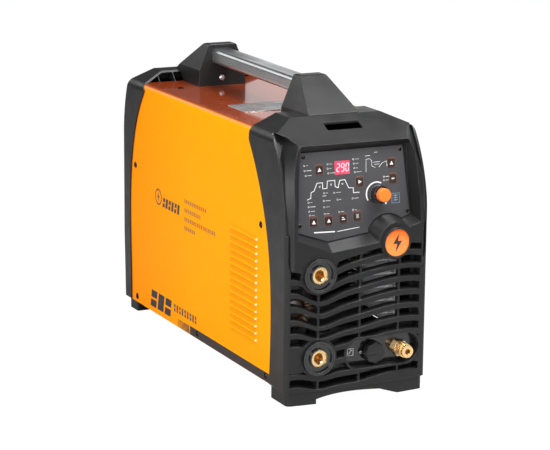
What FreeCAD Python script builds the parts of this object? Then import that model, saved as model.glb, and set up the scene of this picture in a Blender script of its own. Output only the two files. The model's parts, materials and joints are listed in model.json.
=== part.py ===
import FreeCAD, Part
import math
import os

# Portable TIG welding machine. Millimetres, +Z up, +X to the right when looking at the front panel,
# which faces -Y. The origin is on the floor under the centre of the bounding box.

V = FreeCAD.Vector

# Overall body
HALF_W = 110.0
TOP_Z = 388.0
TOP_HALF = 70.0
SHOULDER_Z = 370.0
SHOULDER_R = 14.0
BODY_BOTTOM = 19.0
WALL = 3.0
FRONT_TIP = -310.0
REAR_TIP = 310.0

# Front face: bowed in plan, leaning back above the control panel
BOW_FRONT = -303.5
CONSOLE_BOW = 4.0
SIDE_BOW = 6.0
SIDE_STEP = 1.0
SIDE_CORNER = 6.0
LEAN_Z = 240.0
SIDE_FRONT = -293.5
SIDE_LEAN_R = 215.0
CONSOLE_LEAN_R = 300.0
HOOD_TOP_Y = -223.0
HOOD_LOW = (-279.0, 357.5)
CONSOLE_EDGE = [(82.0, 360.6), (87.5, 352.5), (92.4, 339.6), (98.0, 315.6), (100.0, 285.0), (100.5, 245.0),
                (100.5, 182.0)]
FLANK_SLOPE = (0.35, 0.75)
FLANK_Z = (360.0, 262.0)
HOOD_EDGE = [(91.5, 368.0), (105.0, 374.0)]
GROOVE = [(60.0, 187.0), (100.0, 187.0), (104.5, 192.0), (106.5, 203.0)]
GROOVE_FLOOR = -285.5
FRONT_TOP_REAR_Y = -179.0
FRONT_SEAM = [(-244.5, 19.0), (-250.0, 110.0), (-240.5, 212.0), (-215.0, 287.0), (-176.0, 353.0)]

# Rear bezel
REAR_FACE = 282.0
REAR_LEAN_Z = 285.0
REAR_LEAN_R = 210.0
REAR_SEAM = [(256.0, 19.0), (259.0, 150.0), (254.0, 235.0), (238.0, 297.0), (200.0, 362.0)]
REAR_TOP_FRONT_Y = 226.0
REAR_OPENING = (96.0, 30.0, 352.0)

# Outer cover
COVER_HALF = 108.0
COVER_TOP = 372.0
COVER_T = 1.2
COVER_LAP = 6.0

# Control panel, built upright about (PANEL_Y, PANEL_Z) and then tilted back
PANEL_Y = -277.7
PANEL_Z = 300.0
PANEL_TILT = 5.7
OVERLAY_T = 1.5
FLOOR_T = 2.5
BOARD_W = -18.0
BOARD_T = 1.6
KNOB_X = 36.2
KNOB_Z = 283.7
BUTTONS = {
    "mode": (-51.1, 323.8),
    "select": (10.5, 302.6),
    "pulse": (60.5, 324.8),
    "memory": (62.4, 303.0),
    "trigger": (-62.1, 252.9),
    "process": (-39.1, 253.1),
    "gas_test": (-16.7, 254.2),
    "remote": (5.0, 255.3),
}
BUTTON_HALF = 5.2
DISPLAY = (-27.0, -4.3, 315.4, 333.3)

# Front fittings
BADGE = (56.4, 218.2)
SOCKET_X = -61.5
SOCKET_ZS = (183.0, 66.0)
SOCKET_R = 24.0
CONTACT_R = 12.0
CONTACT_BORE = 6.6
RECESS = (-19.0, 98.0, 43.5, 85.5)
RECESS_FLOOR = -285.0
CAP_X = 30.2
CAP_Z = 61.2
GAS_X = 74.0
GAS_Z = 61.0
SUBPANEL_Y = -270.0
SHELF_Z = 222.0

# Louvre grille
GRILLE_LEFT = -103.0
GRILLE_RIGHT = 98.0
GRILLE_DEPTH = 9.0
RIBS = (-61.0, 2.0, 64.0)
RIB_T = 3.0
SLOT_H = 11.8

# Handle
TUBE_Z = (407.0, 429.0)
TUBE_HALF = 17.0
TUBE_FALL = 0.72
FRONT_GRIP_TOP = 433.2
REAR_GRIP_TOP = 436.5


def box(x0, x1, y0, y1, z0, z1):
    return Part.makeBox(x1 - x0, y1 - y0, z1 - z0, V(x0, y0, z0))


def cyl(axis, a, b, r, t0, t1):
    """Cylinder along an axis: y takes (x, z), x takes (y, z), z takes (x, y)."""
    if axis == "y":
        return Part.makeCylinder(r, t1 - t0, V(a, t0, b), V(0, 1, 0))
    if axis == "x":
        return Part.makeCylinder(r, t1 - t0, V(t0, a, b), V(1, 0, 0))
    return Part.makeCylinder(r, t1 - t0, V(a, b, t0), V(0, 0, 1))


def ring(axis, a, b, r_out, r_in, t0, t1):
    return cyl(axis, a, b, r_out, t0, t1).cut(cyl(axis, a, b, r_in, t0 - 1, t1 + 1))


def polygon(points, plane, at):
    """Closed wire through 2-D points in the xz, xy or yz plane."""
    if plane == "xz":
        vs = [V(p[0], at, p[1]) for p in points]
    elif plane == "xy":
        vs = [V(p[0], p[1], at) for p in points]
    else:
        vs = [V(at, p[0], p[1]) for p in points]
    return Part.makePolygon(vs + [vs[0]])


def prism(points, plane, t0, t1):
    face = Part.Face(polygon(points, plane, t0))
    along = {"xz": V(0, 1, 0), "xy": V(0, 0, 1), "yz": V(1, 0, 0)}[plane]
    return face.extrude(along * (t1 - t0))


def lift(p, plane, at):
    if plane == "xz":
        return V(p[0], at, p[1])
    if plane == "xy":
        return V(p[0], p[1], at)
    return V(at, p[0], p[1])


def rounded_wire(corners, plane, at):
    """Closed wire through (a, b, radius) corners; each corner is rounded by its radius."""
    n = len(corners)
    edges = []
    starts = []
    ends = []
    mids = []
    for i in range(n):
        p = V(corners[i][0], corners[i][1], 0)
        before = V(corners[i - 1][0], corners[i - 1][1], 0)
        after = V(corners[(i + 1) % n][0], corners[(i + 1) % n][1], 0)
        r = corners[i][2]
        d0 = (before - p).normalize()
        d1 = (after - p).normalize()
        half = d0.getAngle(d1) / 2
        cut = r / math.tan(half)
        starts.append(p + d0 * cut)
        ends.append(p + d1 * cut)
        bisector = (d0 + d1).normalize()
        mids.append(p + bisector * (r / math.sin(half) - r))
    for i in range(n):
        if corners[i][2] > 0:
            a = lift(starts[i], plane, at)
            m = lift(mids[i], plane, at)
            b = lift(ends[i], plane, at)
            edges.append(Part.Arc(a, m, b).toShape())
        a = lift(ends[i], plane, at)
        b = lift(starts[(i + 1) % n], plane, at)
        if a.distanceToPoint(b) > 1e-6:
            edges.append(Part.makeLine(a, b))
    return Part.Wire(edges)


def rounded_prism(corners, plane, t0, t1):
    along = {"xz": V(0, 1, 0), "xy": V(0, 0, 1), "yz": V(1, 0, 0)}[plane]
    return Part.Face(rounded_wire(corners, plane, t0)).extrude(along * (t1 - t0))


def rounded_box_xz(x0, x1, z0, z1, r, y0, y1):
    corners = [(x0, z0, r), (x1, z0, r), (x1, z1, r), (x0, z1, r)]
    return rounded_prism(corners, "xz", y0, y1)


def spline_edge(points, plane, at):
    curve = Part.BSplineCurve()
    curve.interpolate([lift(p, plane, at) for p in points])
    return curve.toShape()


def chain(parts, plane, at):
    """Closed wire: each part is a list of points; longer lists marked 's' are splines, 'a' arcs."""
    edges = []
    n = len(parts)
    for i in range(n):
        kind, pts = parts[i]
        if kind == "s":
            edges.append(spline_edge(pts, plane, at))
        elif kind == "a":
            edges.append(Part.Arc(*[lift(p, plane, at) for p in pts]).toShape())
        else:
            for k in range(len(pts) - 1):
                edges.append(Part.makeLine(lift(pts[k], plane, at), lift(pts[k + 1], plane, at)))
        last = lift(pts[-1], plane, at)
        first = lift(parts[(i + 1) % n][1][0], plane, at)
        if last.distanceToPoint(first) > 1e-6:
            edges.append(Part.makeLine(last, first))
    return Part.Wire(edges)


def chain_prism(parts, plane, t0, t1):
    along = {"xz": V(0, 1, 0), "xy": V(0, 0, 1), "yz": V(1, 0, 0)}[plane]
    return Part.Face(chain(parts, plane, t0)).extrude(along * (t1 - t0))


def hexagon(axis, a, b, across, t0, t1):
    r = across / math.sqrt(3)
    pts = []
    for k in range(6):
        t = math.radians(60 * k)
        pts.append((a + r * math.cos(t), b + r * math.sin(t)))
    plane = {"y": "xz", "z": "xy", "x": "yz"}[axis]
    return prism(pts, plane, t0, t1)


def tilt(shape):
    """Leans a shape built upright on the panel back to the panel's real plane."""
    out = shape.copy()
    out.rotate(V(0, PANEL_Y, PANEL_Z), V(1, 0, 0), -PANEL_TILT)
    return out


def tilt_all(shapes):
    return [tilt(s) for s in shapes]


def mirror_x(shape):
    return shape.mirror(V(0, 0, 0), V(1, 0, 0))


def save(name, shape):
    if isinstance(shape, list):
        shape = Part.makeCompound(shape)
    shape.exportStep("parts/" + name + ".step")


# ---------------------------------------------------------------- front bezel

def body_outline(inset):
    """Outline of both bezels seen from the front, with its shoulders chamfered and rounded."""
    w = HALF_W - inset
    top = TOP_Z - inset
    low = BODY_BOTTOM + inset
    return [(-w, low, 2.0), (w, low, 2.0), (w, SHOULDER_Z - inset * 0.6, SHOULDER_R),
            (TOP_HALF, top, 6.0), (-TOP_HALF, top, 6.0), (-w, SHOULDER_Z - inset * 0.6, SHOULDER_R)]


def bow_region(front, depth, inset, corner):
    """Plan of the front: an arc bowed forward by the depth, with rounded side corners."""
    w = HALF_W - inset
    edge_y = front + depth
    slope = depth / 55.0
    left = (-w + corner, edge_y - 0.3)
    right = (w - corner, edge_y - 0.3)
    k = corner * (1 - math.sqrt(0.5))
    parts = [("a", [left, (0, front), right]),
             ("a", [right, (w - k, edge_y + k + slope), (w, edge_y + corner)]),
             ("l", [(w, -150), (-w, -150)]),
             ("a", [(-w, edge_y + corner), (-w + k, edge_y + k + slope), left])]
    return chain_prism(parts, "xy", -5, 450)


def lean_profile(front, radius, inset):
    """Side view of the front: upright, then an arc leaning back, then the sloping hood."""
    f = front + inset
    r = radius - inset
    cy = f + r
    slope = (TOP_Z - HOOD_LOW[1]) / (HOOD_TOP_Y - HOOD_LOW[0])
    drop = inset * math.sqrt(1 + slope * slope)

    def hood_z(y):
        return TOP_Z + (y - HOOD_TOP_Y) * slope - drop

    lo = LEAN_Z
    hi = TOP_Z
    for _ in range(60):
        mid = (lo + hi) / 2
        y = cy - math.sqrt(r * r - (mid - LEAN_Z) ** 2)
        if hood_z(y) > mid:
            lo = mid
        else:
            hi = mid
    meet_z = lo
    meet_y = cy - math.sqrt(r * r - (meet_z - LEAN_Z) ** 2)
    mid_z = (LEAN_Z + meet_z) / 2
    mid_y = cy - math.sqrt(r * r - (mid_z - LEAN_Z) ** 2)
    top_y = HOOD_TOP_Y + (TOP_Z + 5 - hood_z(HOOD_TOP_Y)) / slope
    parts = [("l", [(-330, -5), (-330, LEAN_Z), (f, LEAN_Z)]),
             ("a", [(f, LEAN_Z), (mid_y, mid_z), (meet_y, meet_z)]),
             ("l", [(meet_y, meet_z), (top_y, TOP_Z + 5), (-140, TOP_Z + 5), (-140, -5)])]
    return chain_prism(parts, "yz", -130, 130)


def console_surface(z):
    """Where the side edge of the console's face lies at a height."""
    face = BOW_FRONT + CONSOLE_BOW * 0.8
    if z <= LEAN_Z:
        return face
    lean = CONSOLE_LEAN_R - math.sqrt(CONSOLE_LEAN_R ** 2 - (z - LEAN_Z) ** 2)
    return max(face, BOW_FRONT + lean)


def console_wire(y, inset):
    """Section of the console at y; its flanks spread towards the rear, most steeply at the bottom."""
    right = []
    for x, z in CONSOLE_EDGE:
        t = min(1.0, max(0.0, (z - FLANK_Z[1]) / (FLANK_Z[0] - FLANK_Z[1])))
        slope = FLANK_SLOPE[1] + (FLANK_SLOPE[0] - FLANK_SLOPE[1]) * t
        right.append((x - inset * math.sqrt(1 + slope * slope) + slope * (y - console_surface(z)), z))
    left = [(-p[0], p[1]) for p in reversed(right)]
    hood = [(p[0] - inset, p[1]) for p in HOOD_EDGE]
    hood_left = [(-p[0], p[1]) for p in hood]
    over = TOP_Z + 1
    crown = [left[-1]] + hood_left + [(-TOP_HALF, over), (TOP_HALF, over)] + hood[::-1] + [right[0]]
    return chain([("s", right), ("l", [right[-1], left[0]]), ("s", left), ("l", crown)], "xz", y)


def front_solid(inset):
    """Outside form of the front bezel, or the same form shrunk by the wall."""
    outline = rounded_prism(body_outline(inset), "xz", -330, -150)
    sides = outline.common(bow_region(BOW_FRONT + SIDE_STEP + inset, SIDE_BOW, inset, SIDE_CORNER))
    sides = sides.common(lean_profile(SIDE_FRONT, SIDE_LEAN_R, inset))
    groove = side_groove(inset)
    sides = sides.cut([groove, mirror_x(groove)])
    console = Part.makeLoft([console_wire(-330.0, inset), console_wire(-230.0, inset)], True, True)
    console = console.common(bow_region(BOW_FRONT + inset, CONSOLE_BOW, inset, 3.0)).common(outline)
    console = console.common(lean_profile(BOW_FRONT, CONSOLE_LEAN_R, inset))
    return sides.fuse(console)


def side_groove(inset):
    """Channel between the console and the thin rim of the side wall, less the solid left behind it."""
    pts = [(p[0] + (inset if p[0] > 90 else 0), p[1] - inset) for p in GROOVE]
    pts += [(pts[-1][0], 385.0), (pts[0][0], 385.0)]
    channel = prism(pts, "xz", -330, -200)
    behind = box(-130, 130, GROOVE_FLOOR + inset, -150, -5, 400)
    behind = behind.common(lean_profile(GROOVE_FLOOR, SIDE_LEAN_R, inset))
    return channel.cut(behind)


def seam_side(offset):
    """Everything in front of the curved seam between the front bezel and the cover."""
    seam = [(p[0] + offset, p[1]) for p in FRONT_SEAM]
    seam[0] = (seam[0][0], -5.0)
    parts = [("s", seam), ("l", [seam[-1], (FRONT_TOP_REAR_Y + offset, TOP_Z + 10), (-340, TOP_Z + 10),
                                 (-340, -5), seam[0]])]
    return chain_prism(parts, "yz", -130, 130)


def arc_corner(before, corner, after, r):
    """Three points of the arc that rounds a corner between two neighbours."""
    p = V(corner[0], corner[1], 0)
    d0 = (V(before[0], before[1], 0) - p).normalize()
    d1 = (V(after[0], after[1], 0) - p).normalize()
    half = d0.getAngle(d1) / 2
    cut = r / math.tan(half)
    mid = p + (d0 + d1).normalize() * (r / math.sin(half) - r)
    a = p + d0 * cut
    b = p + d1 * cut
    return [(a.x, a.y), (mid.x, mid.y), (b.x, b.y)]


def wave(base, dip):
    """Upper front edge of one grille slat: high on the right, dipping under the sockets."""
    return [(-104.0, base - 4.5), (-86.0, base - 0.42 * dip), (-61.0, base - dip), (-31.0, base - 0.57 * dip),
            (1.0, base - 3.0), (30.0, base + 1.5), (62.0, base + 4.0), (100.0, base)]


SLAT_ROWS = [(203.5, 20.0), (184.0, 19.5), (164.5, 18.5), (145.5, 17.0), (126.0, 15.5), (107.0, 13.5),
             (88.0, 11.5), (68.5, 10.0), (49.0, 9.0), (29.5, 8.0)]
SLOT_RISE = V(0, 30.0, 8.0)


def slot_band(base, dip, height):
    low = wave(base, dip)
    high = [(p[0], p[1] + height) for p in reversed(low)]
    face = Part.Face(chain([("s", low), ("s", high)], "xz", -309.0))
    return face.extrude(SLOT_RISE)


def stadium(grow, y0, y1):
    x0, x1, z0, z1 = RECESS
    r = (z1 - z0) / 2 + grow - 0.01
    return rounded_box_xz(x0 - grow, x1 + grow, z0 - grow, z1 + grow, r, y0, y1)


def grille_pads():
    """Solid places in the grille: round the sockets, the badge and the connector recess."""
    pads = [cyl("y", SOCKET_X, z, SOCKET_R + 3.5, -330, -250) for z in SOCKET_ZS]
    pads.append(cyl("y", BADGE[0], BADGE[1], 24.0, -330, -250))
    pads.append(stadium(3.0, -330, -250))
    pads.append(box(-120, -84, -330, -250, 47.0, 78.0))
    pads.append(box(-104, -34, -330, -250, 196.0, 225.0))
    pads.append(prism([(-120, 255), (-120, 212), (-100, 200), (-34, 200), (30, 214), (120, 216), (120, 255)],
                      "xz", -330, -250))
    return pads[0].multiFuse(pads[1:])


def grille_slots():
    pads = grille_pads()
    columns = [GRILLE_LEFT] + list(RIBS) + [GRILLE_RIGHT]
    cutters = []
    for base, dip in SLAT_ROWS:
        height = SLOT_H if base < 200 else 9.5
        band = slot_band(base - 3.0, dip, height)
        for k in range(4):
            x0 = columns[k] + (RIB_T / 2 if k else 0)
            x1 = columns[k + 1] - (RIB_T / 2 if k < 3 else 0)
            cutters.append(band.common(box(x0, x1, -330, -250, 20, 260)).cut(pads))
    return cutters


def rib_recess(inner):
    """Shallow troughs that set the ribs back behind the slats."""
    pads = grille_pads()
    troughs = []
    for base, dip in SLAT_ROWS:
        height = SLOT_H if base < 200 else 9.5
        band = slot_band(base - 3.0, dip, height)
        band = band.common(box(GRILLE_LEFT, GRILLE_RIGHT, -330, -250, 20, 260))
        troughs.append(band.cut(pads).cut(inner))
    return troughs


def pocket_outline(w, pts, corner_r, arc, tail):
    """Closed outline at w in front of the panel: top, right side, arc over the badge, tail, left side."""
    cx, cz, r, a0, a1 = arc
    over = [(cx + r * math.cos(math.radians(a)), cz + r * math.sin(math.radians(a)))
            for a in (a0, (a0 + a1) / 2, a1)]
    corner = arc_corner(pts[0], pts[1], pts[2], corner_r)
    return chain([("l", [pts[0], corner[0]]), ("a", corner), ("l", [corner[2]] + pts[2:]), ("a", over),
                  ("l", tail)], "xz", PANEL_Y - w)


def pocket_floor():
    return pocket_outline(-OVERLAY_T, [(-80.0, 349.0), (86.0, 350.0), (86.5, 295.0), (89.5, 250.5)], 2.0,
                          (52.0, 221.0, 33.5, 50.0, 152.0),
                          [(22.5, 231.0), (-41.0, 223.5), (-88.8, 240.0), (-81.8, 326.0)])


def pocket_mouth():
    return pocket_outline(20.0, [(-82.0, 374.0), (95.5, 366.5), (91.5, 298.0), (97.0, 240.0)], 11.0,
                          (BADGE[0], BADGE[1], 26.0, 38.0, 165.0),
                          [(30.0, 217.3), (-43.5, 208.8), (-95.5, 229.7), (-92.0, 326.0)])


def overlay_outline():
    cx, cz, r = 52.0, 221.0, 34.3
    over = [(cx + r * math.cos(math.radians(a)), cz + r * math.sin(math.radians(a))) for a in (50, 101, 152)]
    return chain([("l", [(-79.2, 348.2), (78.7, 348.2), (87.5, 252.0)]), ("a", over),
                  ("l", [(22.0, 232.0), (-40.8, 224.4), (-88.0, 240.8)])], "xz", PANEL_Y)


def panel_pocket():
    """Flared pocket in which the control panel sits."""
    mouth = pocket_mouth()
    flare = Part.makeLoft([pocket_floor(), mouth], True, True)
    mouth_block = Part.Face(mouth).extrude(V(0, -30, 0))
    return tilt(flare.fuse(mouth_block))


def panel_holes(y0, y1, clearance):
    """Openings for the buttons, the display and the knob shaft, in the upright panel frame."""
    cuts = []
    for x, z in BUTTONS.values():
        h = BUTTON_HALF + clearance
        cuts.append(box(x - h, x + h, y0, y1, z - h, z + h))
    x0, x1, z0, z1 = DISPLAY
    cuts.append(box(x0 - clearance, x1 + clearance, y0, y1, z0 - clearance, z1 + clearance))
    cuts.append(cyl("y", KNOB_X, KNOB_Z, 3.55, y0, y1))
    return cuts


BOARD_POSTS = [(-66.0, 330.0), (74.0, 312.0), (-66.0, 265.0), (74.0, 262.0)]
PANEL_SCREWS = [(-74.5, 342.5), (74.5, 342.5), (-83.0, 249.5), (83.5, 256.0)]


def front_bezel():
    outer = front_solid(0.0)
    inner = front_solid(WALL)
    recess_core = tilt(box(-101, 101, PANEL_Y - 40, PANEL_Y + OVERLAY_T + FLOOR_T, 204, 361))
    grille_core = box(-107, 107, -330, -276, 21, 226).cut(front_solid(GRILLE_DEPTH))
    pads = [cyl("y", SOCKET_X, z, SOCKET_R + 3.5, -330, -276) for z in SOCKET_ZS]
    core = recess_core.multiFuse([grille_core] + pads + [stadium(3.0, -330, -276)])
    hollow = inner.cut(core)
    shell = outer.cut(hollow).common(seam_side(0.0))
    # rear closing wall above the cover
    lid = rounded_prism(body_outline(0.0), "xz", -183.0, FRONT_TOP_REAR_Y)
    lid = lid.common(box(-130, 130, -190, -170, COVER_TOP + 0.05, 400)).common(seam_side(0.0))
    shell = shell.fuse(lid)
    # the cover slides in behind the seam
    shell = shell.cut(cover_envelope(-320, 20).cut(seam_side(-COVER_LAP - 0.5)))
    # control recess, grille and fittings
    shell = shell.cut(panel_pocket())
    shell = shell.cut(tilt_all(panel_holes(PANEL_Y - 1, PANEL_Y + 8, 0.3)))
    shell = shell.cut(tilt_all([cyl("y", x, z, 1.3, PANEL_Y - 1, PANEL_Y + 8) for x, z in PANEL_SCREWS]))
    set_back = front_solid(1.8)
    shell = shell.cut(rib_recess(set_back))
    shell = shell.cut(grille_slots())
    holes = [cyl("y", SOCKET_X, z, SOCKET_R + 0.1, -330, -292) for z in SOCKET_ZS]
    holes += [cyl("y", SOCKET_X, z, 17.2, -330, -250) for z in SOCKET_ZS]
    holes.append(stadium(0.0, -330, -283.4))
    holes.append(stadium(-2.5, -330, -250))
    holes.append(cyl("y", BADGE[0], BADGE[1], 21.2, -330, -302.4))
    shell = shell.cut(holes)
    # slot in the hood
    slot = rounded_prism([(-26.5, -237, 2), (28, -237, 2), (28, -252, 2), (-26.5, -252, 2)], "xy", 350, 400)
    shell = shell.cut(slot)
    # feet and the arched skirt between them
    arch = [(-63.0, 6.8), (-17.0, 12.8), (22.4, 11.2), (35.2, 10.0)]
    top = BODY_BOTTOM + 2
    feet_face = chain([("l", [(-107, 0), (-63, 0), arch[0]]), ("s", arch),
                       ("l", [arch[-1], (64.7, 0), (107, 0), (107, top), (-107, top)])], "xz", -330)
    feet = Part.Face(feet_face).extrude(V(0, 83, 0))
    feet = feet.common(bow_region(BOW_FRONT + SIDE_STEP + 1.0, SIDE_BOW, 3.6, SIDE_CORNER))
    feet = feet.cut(box(-63, 64.7, -291, -240, -1, BODY_BOTTOM))
    shell = shell.fuse(feet)
    # raised lip round the badge, and posts for the control board
    lip = cyl("y", BADGE[0], BADGE[1], 21.2, -306.0, -302.0)
    lip = lip.cut(cyl("y", BADGE[0], BADGE[1], 19.4, -310, -302.4))
    posts = [cyl("y", x, z, 3.0, PANEL_Y + 3.9, PANEL_Y - BOARD_W) for x, z in BOARD_POSTS]
    return shell.multiFuse([lip] + tilt_all(posts)).removeSplitter()


# ---------------------------------------------------------------- cover

def cover_solid(inset):
    """Solid form of the folded cover."""
    w = COVER_HALF - inset
    top = COVER_TOP - inset
    r = 8.0 - inset
    arch = [(-w, BODY_BOTTOM, 0), (w, BODY_BOTTOM, 0), (w, top, r), (-w, top, r)]
    return rounded_prism(arch, "xz", -330, 330)


def cover_envelope(y0, y1):
    """Room for the cover with a running gap, continued below its lower edge."""
    w = COVER_HALF + 0.05
    top = COVER_TOP + 0.05
    return rounded_prism([(-w, 5, 0), (w, 5, 0), (w, top, 8.05), (-w, top, 8.05)], "xz", y0, y1)


def rear_seam_side(offset):
    """Everything behind the curved seam between the cover and the rear bezel."""
    seam = [(p[0] + offset, p[1]) for p in REAR_SEAM]
    seam[0] = (seam[0][0], -5.0)
    top_y = REAR_TOP_FRONT_Y + offset
    parts = [("s", seam), ("l", [seam[-1], (top_y, TOP_Z), (top_y, 400), (340, 400), (340, -5), seam[0]])]
    return chain_prism(parts, "yz", -130, 130)


SIDE_SCREWS = [(-231.0, 27.0), (2.5, 26.5), (234.0, 28.5), (-213.0, 239.5), (239.0, 239.5)]
TOP_SCREWS = [(-70.5, 149.0)]
LOUVRE_Y = (-203.0, -110.0)
LOUVRE_Z0 = 70.0
LOUVRE_PITCH = 10.4
LOUVRE_COUNT = 15


def louvre(z, grow, depth):
    """One louvre hood on the left side: a half-lens with sloping ends, open at the bottom."""
    y0, y1 = LOUVRE_Y
    x = -COVER_HALF
    hood = chain_prism([("a", [(x + 0.6, z + 3.0 + grow), (x - 0.6 * depth, z + 1.6 + grow * 0.6),
                               (x - depth, z - 1.6)]),
                        ("l", [(x - depth, z - 1.6), (x + 0.6, z - 1.6)])], "xz", y0, y1)
    plan = prism([(x + 1, y0 - grow), (x - depth, y0 + 4.0 - grow), (x - depth, y1 - 4.0 + grow),
                  (x + 1, y1 + grow)], "xy", 0, 400)
    return hood.common(plan)


def top_cover():
    shell = cover_solid(0).cut(rounded_prism(
        [(-COVER_HALF + COVER_T, BODY_BOTTOM - 5, 0), (COVER_HALF - COVER_T, BODY_BOTTOM - 5, 0),
         (COVER_HALF - COVER_T, COVER_TOP - COVER_T, 8.0 - COVER_T),
         (-COVER_HALF + COVER_T, COVER_TOP - COVER_T, 8.0 - COVER_T)], "xz", -340, 340))
    shell = shell.cut(seam_side(-COVER_LAP)).cut(rear_seam_side(COVER_LAP))
    # the top stops at the front bezel's closing wall
    shell = shell.cut(box(-130, 130, -340, FRONT_TOP_REAR_Y - 5.0, 350, 400))
    hoods = []
    hollows = []
    for k in range(LOUVRE_COUNT):
        z = LOUVRE_Z0 + k * LOUVRE_PITCH
        hood = louvre(z, 0.0, 1.95)
        hollow = louvre(z - 0.8, -0.8, 1.15)
        hoods += [hood, mirror_x(hood)]
        slit = box(-COVER_HALF - 0.5, -COVER_HALF + COVER_T + 1, LOUVRE_Y[0] + 4, LOUVRE_Y[1] - 4,
                   z - 1.6, z + 1.2)
        slit = slit.cut(hood.cut(hollow))
        hollows += [hollow, mirror_x(hollow), slit, mirror_x(slit)]
    shell = shell.multiFuse(hoods).cut(hollows)
    holes = []
    for y, z in SIDE_SCREWS:
        holes.append(cyl("x", y, z, 2.3, -120, 120))
    for x, y in TOP_SCREWS:
        holes.append(cyl("z", x, y, 2.3, 360, 380))
    return shell.cut(holes)


def pan_screw(r_head, h_head, r_shank, length):
    """Pan-head screw along -Z with its head's underside at z = 0 and a cross recess."""
    dome_r = (r_head * r_head + h_head * h_head) / (2 * h_head)
    dome = Part.makeSphere(dome_r, V(0, 0, h_head - dome_r)).common(cyl("z", 0, 0, r_head, 0, h_head + 1))
    cross = box(-r_head * 0.6, r_head * 0.6, -0.4, 0.4, h_head * 0.45, h_head + 1)
    cross = cross.fuse(box(-0.4, 0.4, -r_head * 0.6, r_head * 0.6, h_head * 0.45, h_head + 1))
    return dome.cut(cross).fuse(cyl("z", 0, 0, r_shank, -length, 0.05)).removeSplitter()


def place(shape, direction, at):
    """Moves a shape built along +Z so that +Z points along the direction."""
    out = shape.copy()
    turn = FreeCAD.Rotation(V(0, 0, 1), V(*direction))
    out.Placement = FreeCAD.Placement(V(*at), turn)
    return out


def case_screws():
    """Pan-head screws of the cover, and the longer ones that clamp the fan and its guard."""
    screws = []
    screw = pan_screw(5.2, 1.98, 2.0, 7.0)
    for y, z in SIDE_SCREWS:
        screws.append(place(screw, (-1, 0, 0), (-COVER_HALF, y, z)))
        screws.append(place(screw, (1, 0, 0), (COVER_HALF, y, z)))
    for x, y in TOP_SCREWS:
        screws.append(place(screw, (0, 0, 1), (x, y, COVER_TOP)))
    fan_screw = pan_screw(4.2, 1.9, 2.0, 16.0)
    for x, z in fan_corners():
        screws.append(place(fan_screw, (0, 1, 0), (x, REAR_PANEL_Y + 5.8, z)))
    return screws


def rating_plate():
    plate = rounded_prism([(-69, -81, 3), (69, -81, 3), (69, -17, 3), (-69, -17, 3)], "xy", COVER_TOP,
                          COVER_TOP + 0.8)
    return plate


# ---------------------------------------------------------------- rear bezel and panel

def rear_profile(inset):
    r = REAR_LEAN_R - inset
    cy = REAR_FACE - REAR_LEAN_R
    top = TOP_Z + 5
    mid_z = (REAR_LEAN_Z + top) / 2

    def y_at(z):
        return cy + math.sqrt(r * r - (z - REAR_LEAN_Z) ** 2)

    parts = [("l", [(100, -5), (REAR_FACE - 5.5 - inset, -5), (REAR_FACE - inset, 125.0),
                    (REAR_FACE - inset, REAR_LEAN_Z)]),
             ("a", [(REAR_FACE - inset, REAR_LEAN_Z), (y_at(mid_z), mid_z), (y_at(top), top)]),
             ("l", [(y_at(top), top), (100, top)])]
    return chain_prism(parts, "yz", -130, 130)


def rear_bezel():
    outer = rounded_prism(body_outline(0.0), "xz", 150, 330).common(rear_profile(0.0))
    inner = rounded_prism(body_outline(WALL), "xz", 150, 330).common(rear_profile(WALL))
    half, z0, z1 = REAR_OPENING
    shell = outer.cut(inner)
    shell = shell.cut(rounded_box_xz(-half, half, z0, z1, 10.0, 200, 330))
    # inner lip that carries the rear panel
    lip = rounded_box_xz(-half - 6, half + 6, z0 - 6, z1 + 6, 12.0, 264.1, 281.0)
    lip = lip.cut(rounded_box_xz(-half, half, z0, z1, 10.0, 200, 330)).common(outer)
    shell = shell.fuse(lip)
    # ribs in the open pocket above the cover
    ribs = []
    for x in (-78.0, -52.0, -26.0, 0.0, 26.0, 52.0, 78.0):
        ribs.append(box(x - 0.6, x + 0.6, 200, 262, COVER_TOP + 0.05, TOP_Z - 1).common(outer))
    back = box(-104, 104, 246, 247.5, COVER_TOP + 0.05, TOP_Z - 1).common(outer)
    shell = shell.multiFuse(ribs + [back])
    shell = shell.common(rear_seam_side(0.0))
    shell = shell.cut(cover_envelope(-20, 320).cut(rear_seam_side(COVER_LAP + 0.5)))
    feet = []
    for s in (-1, 1):
        x0, x1 = sorted((s * 78.0, s * 102.0))
        foot = rounded_prism([(x0, 247, 3), (x1, 247, 3), (x1, 278, 3), (x0, 278, 3)], "xy",
                             0, BODY_BOTTOM + 1)
        feet.append(foot.cut(box(-130, 130, 200, 256.5, BODY_BOTTOM - 0.05, 60)))
    return shell.multiFuse(feet).removeSplitter()


FAN_X = -15.0
FAN_Z = 122.0
FAN_HALF = 75.0
FAN_Y = (224.0, 262.0)
SWITCH_X = 55.0
SWITCH_Z = 300.0
GLAND = (-55.0, 300.0)
INLET = (84.0, 60.0)
REAR_PANEL_Y = 262.0


def fan_corners():
    return [(FAN_X + sx * 67.5, FAN_Z + sz * 67.5) for sx in (-1, 1) for sz in (-1, 1)]


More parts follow.
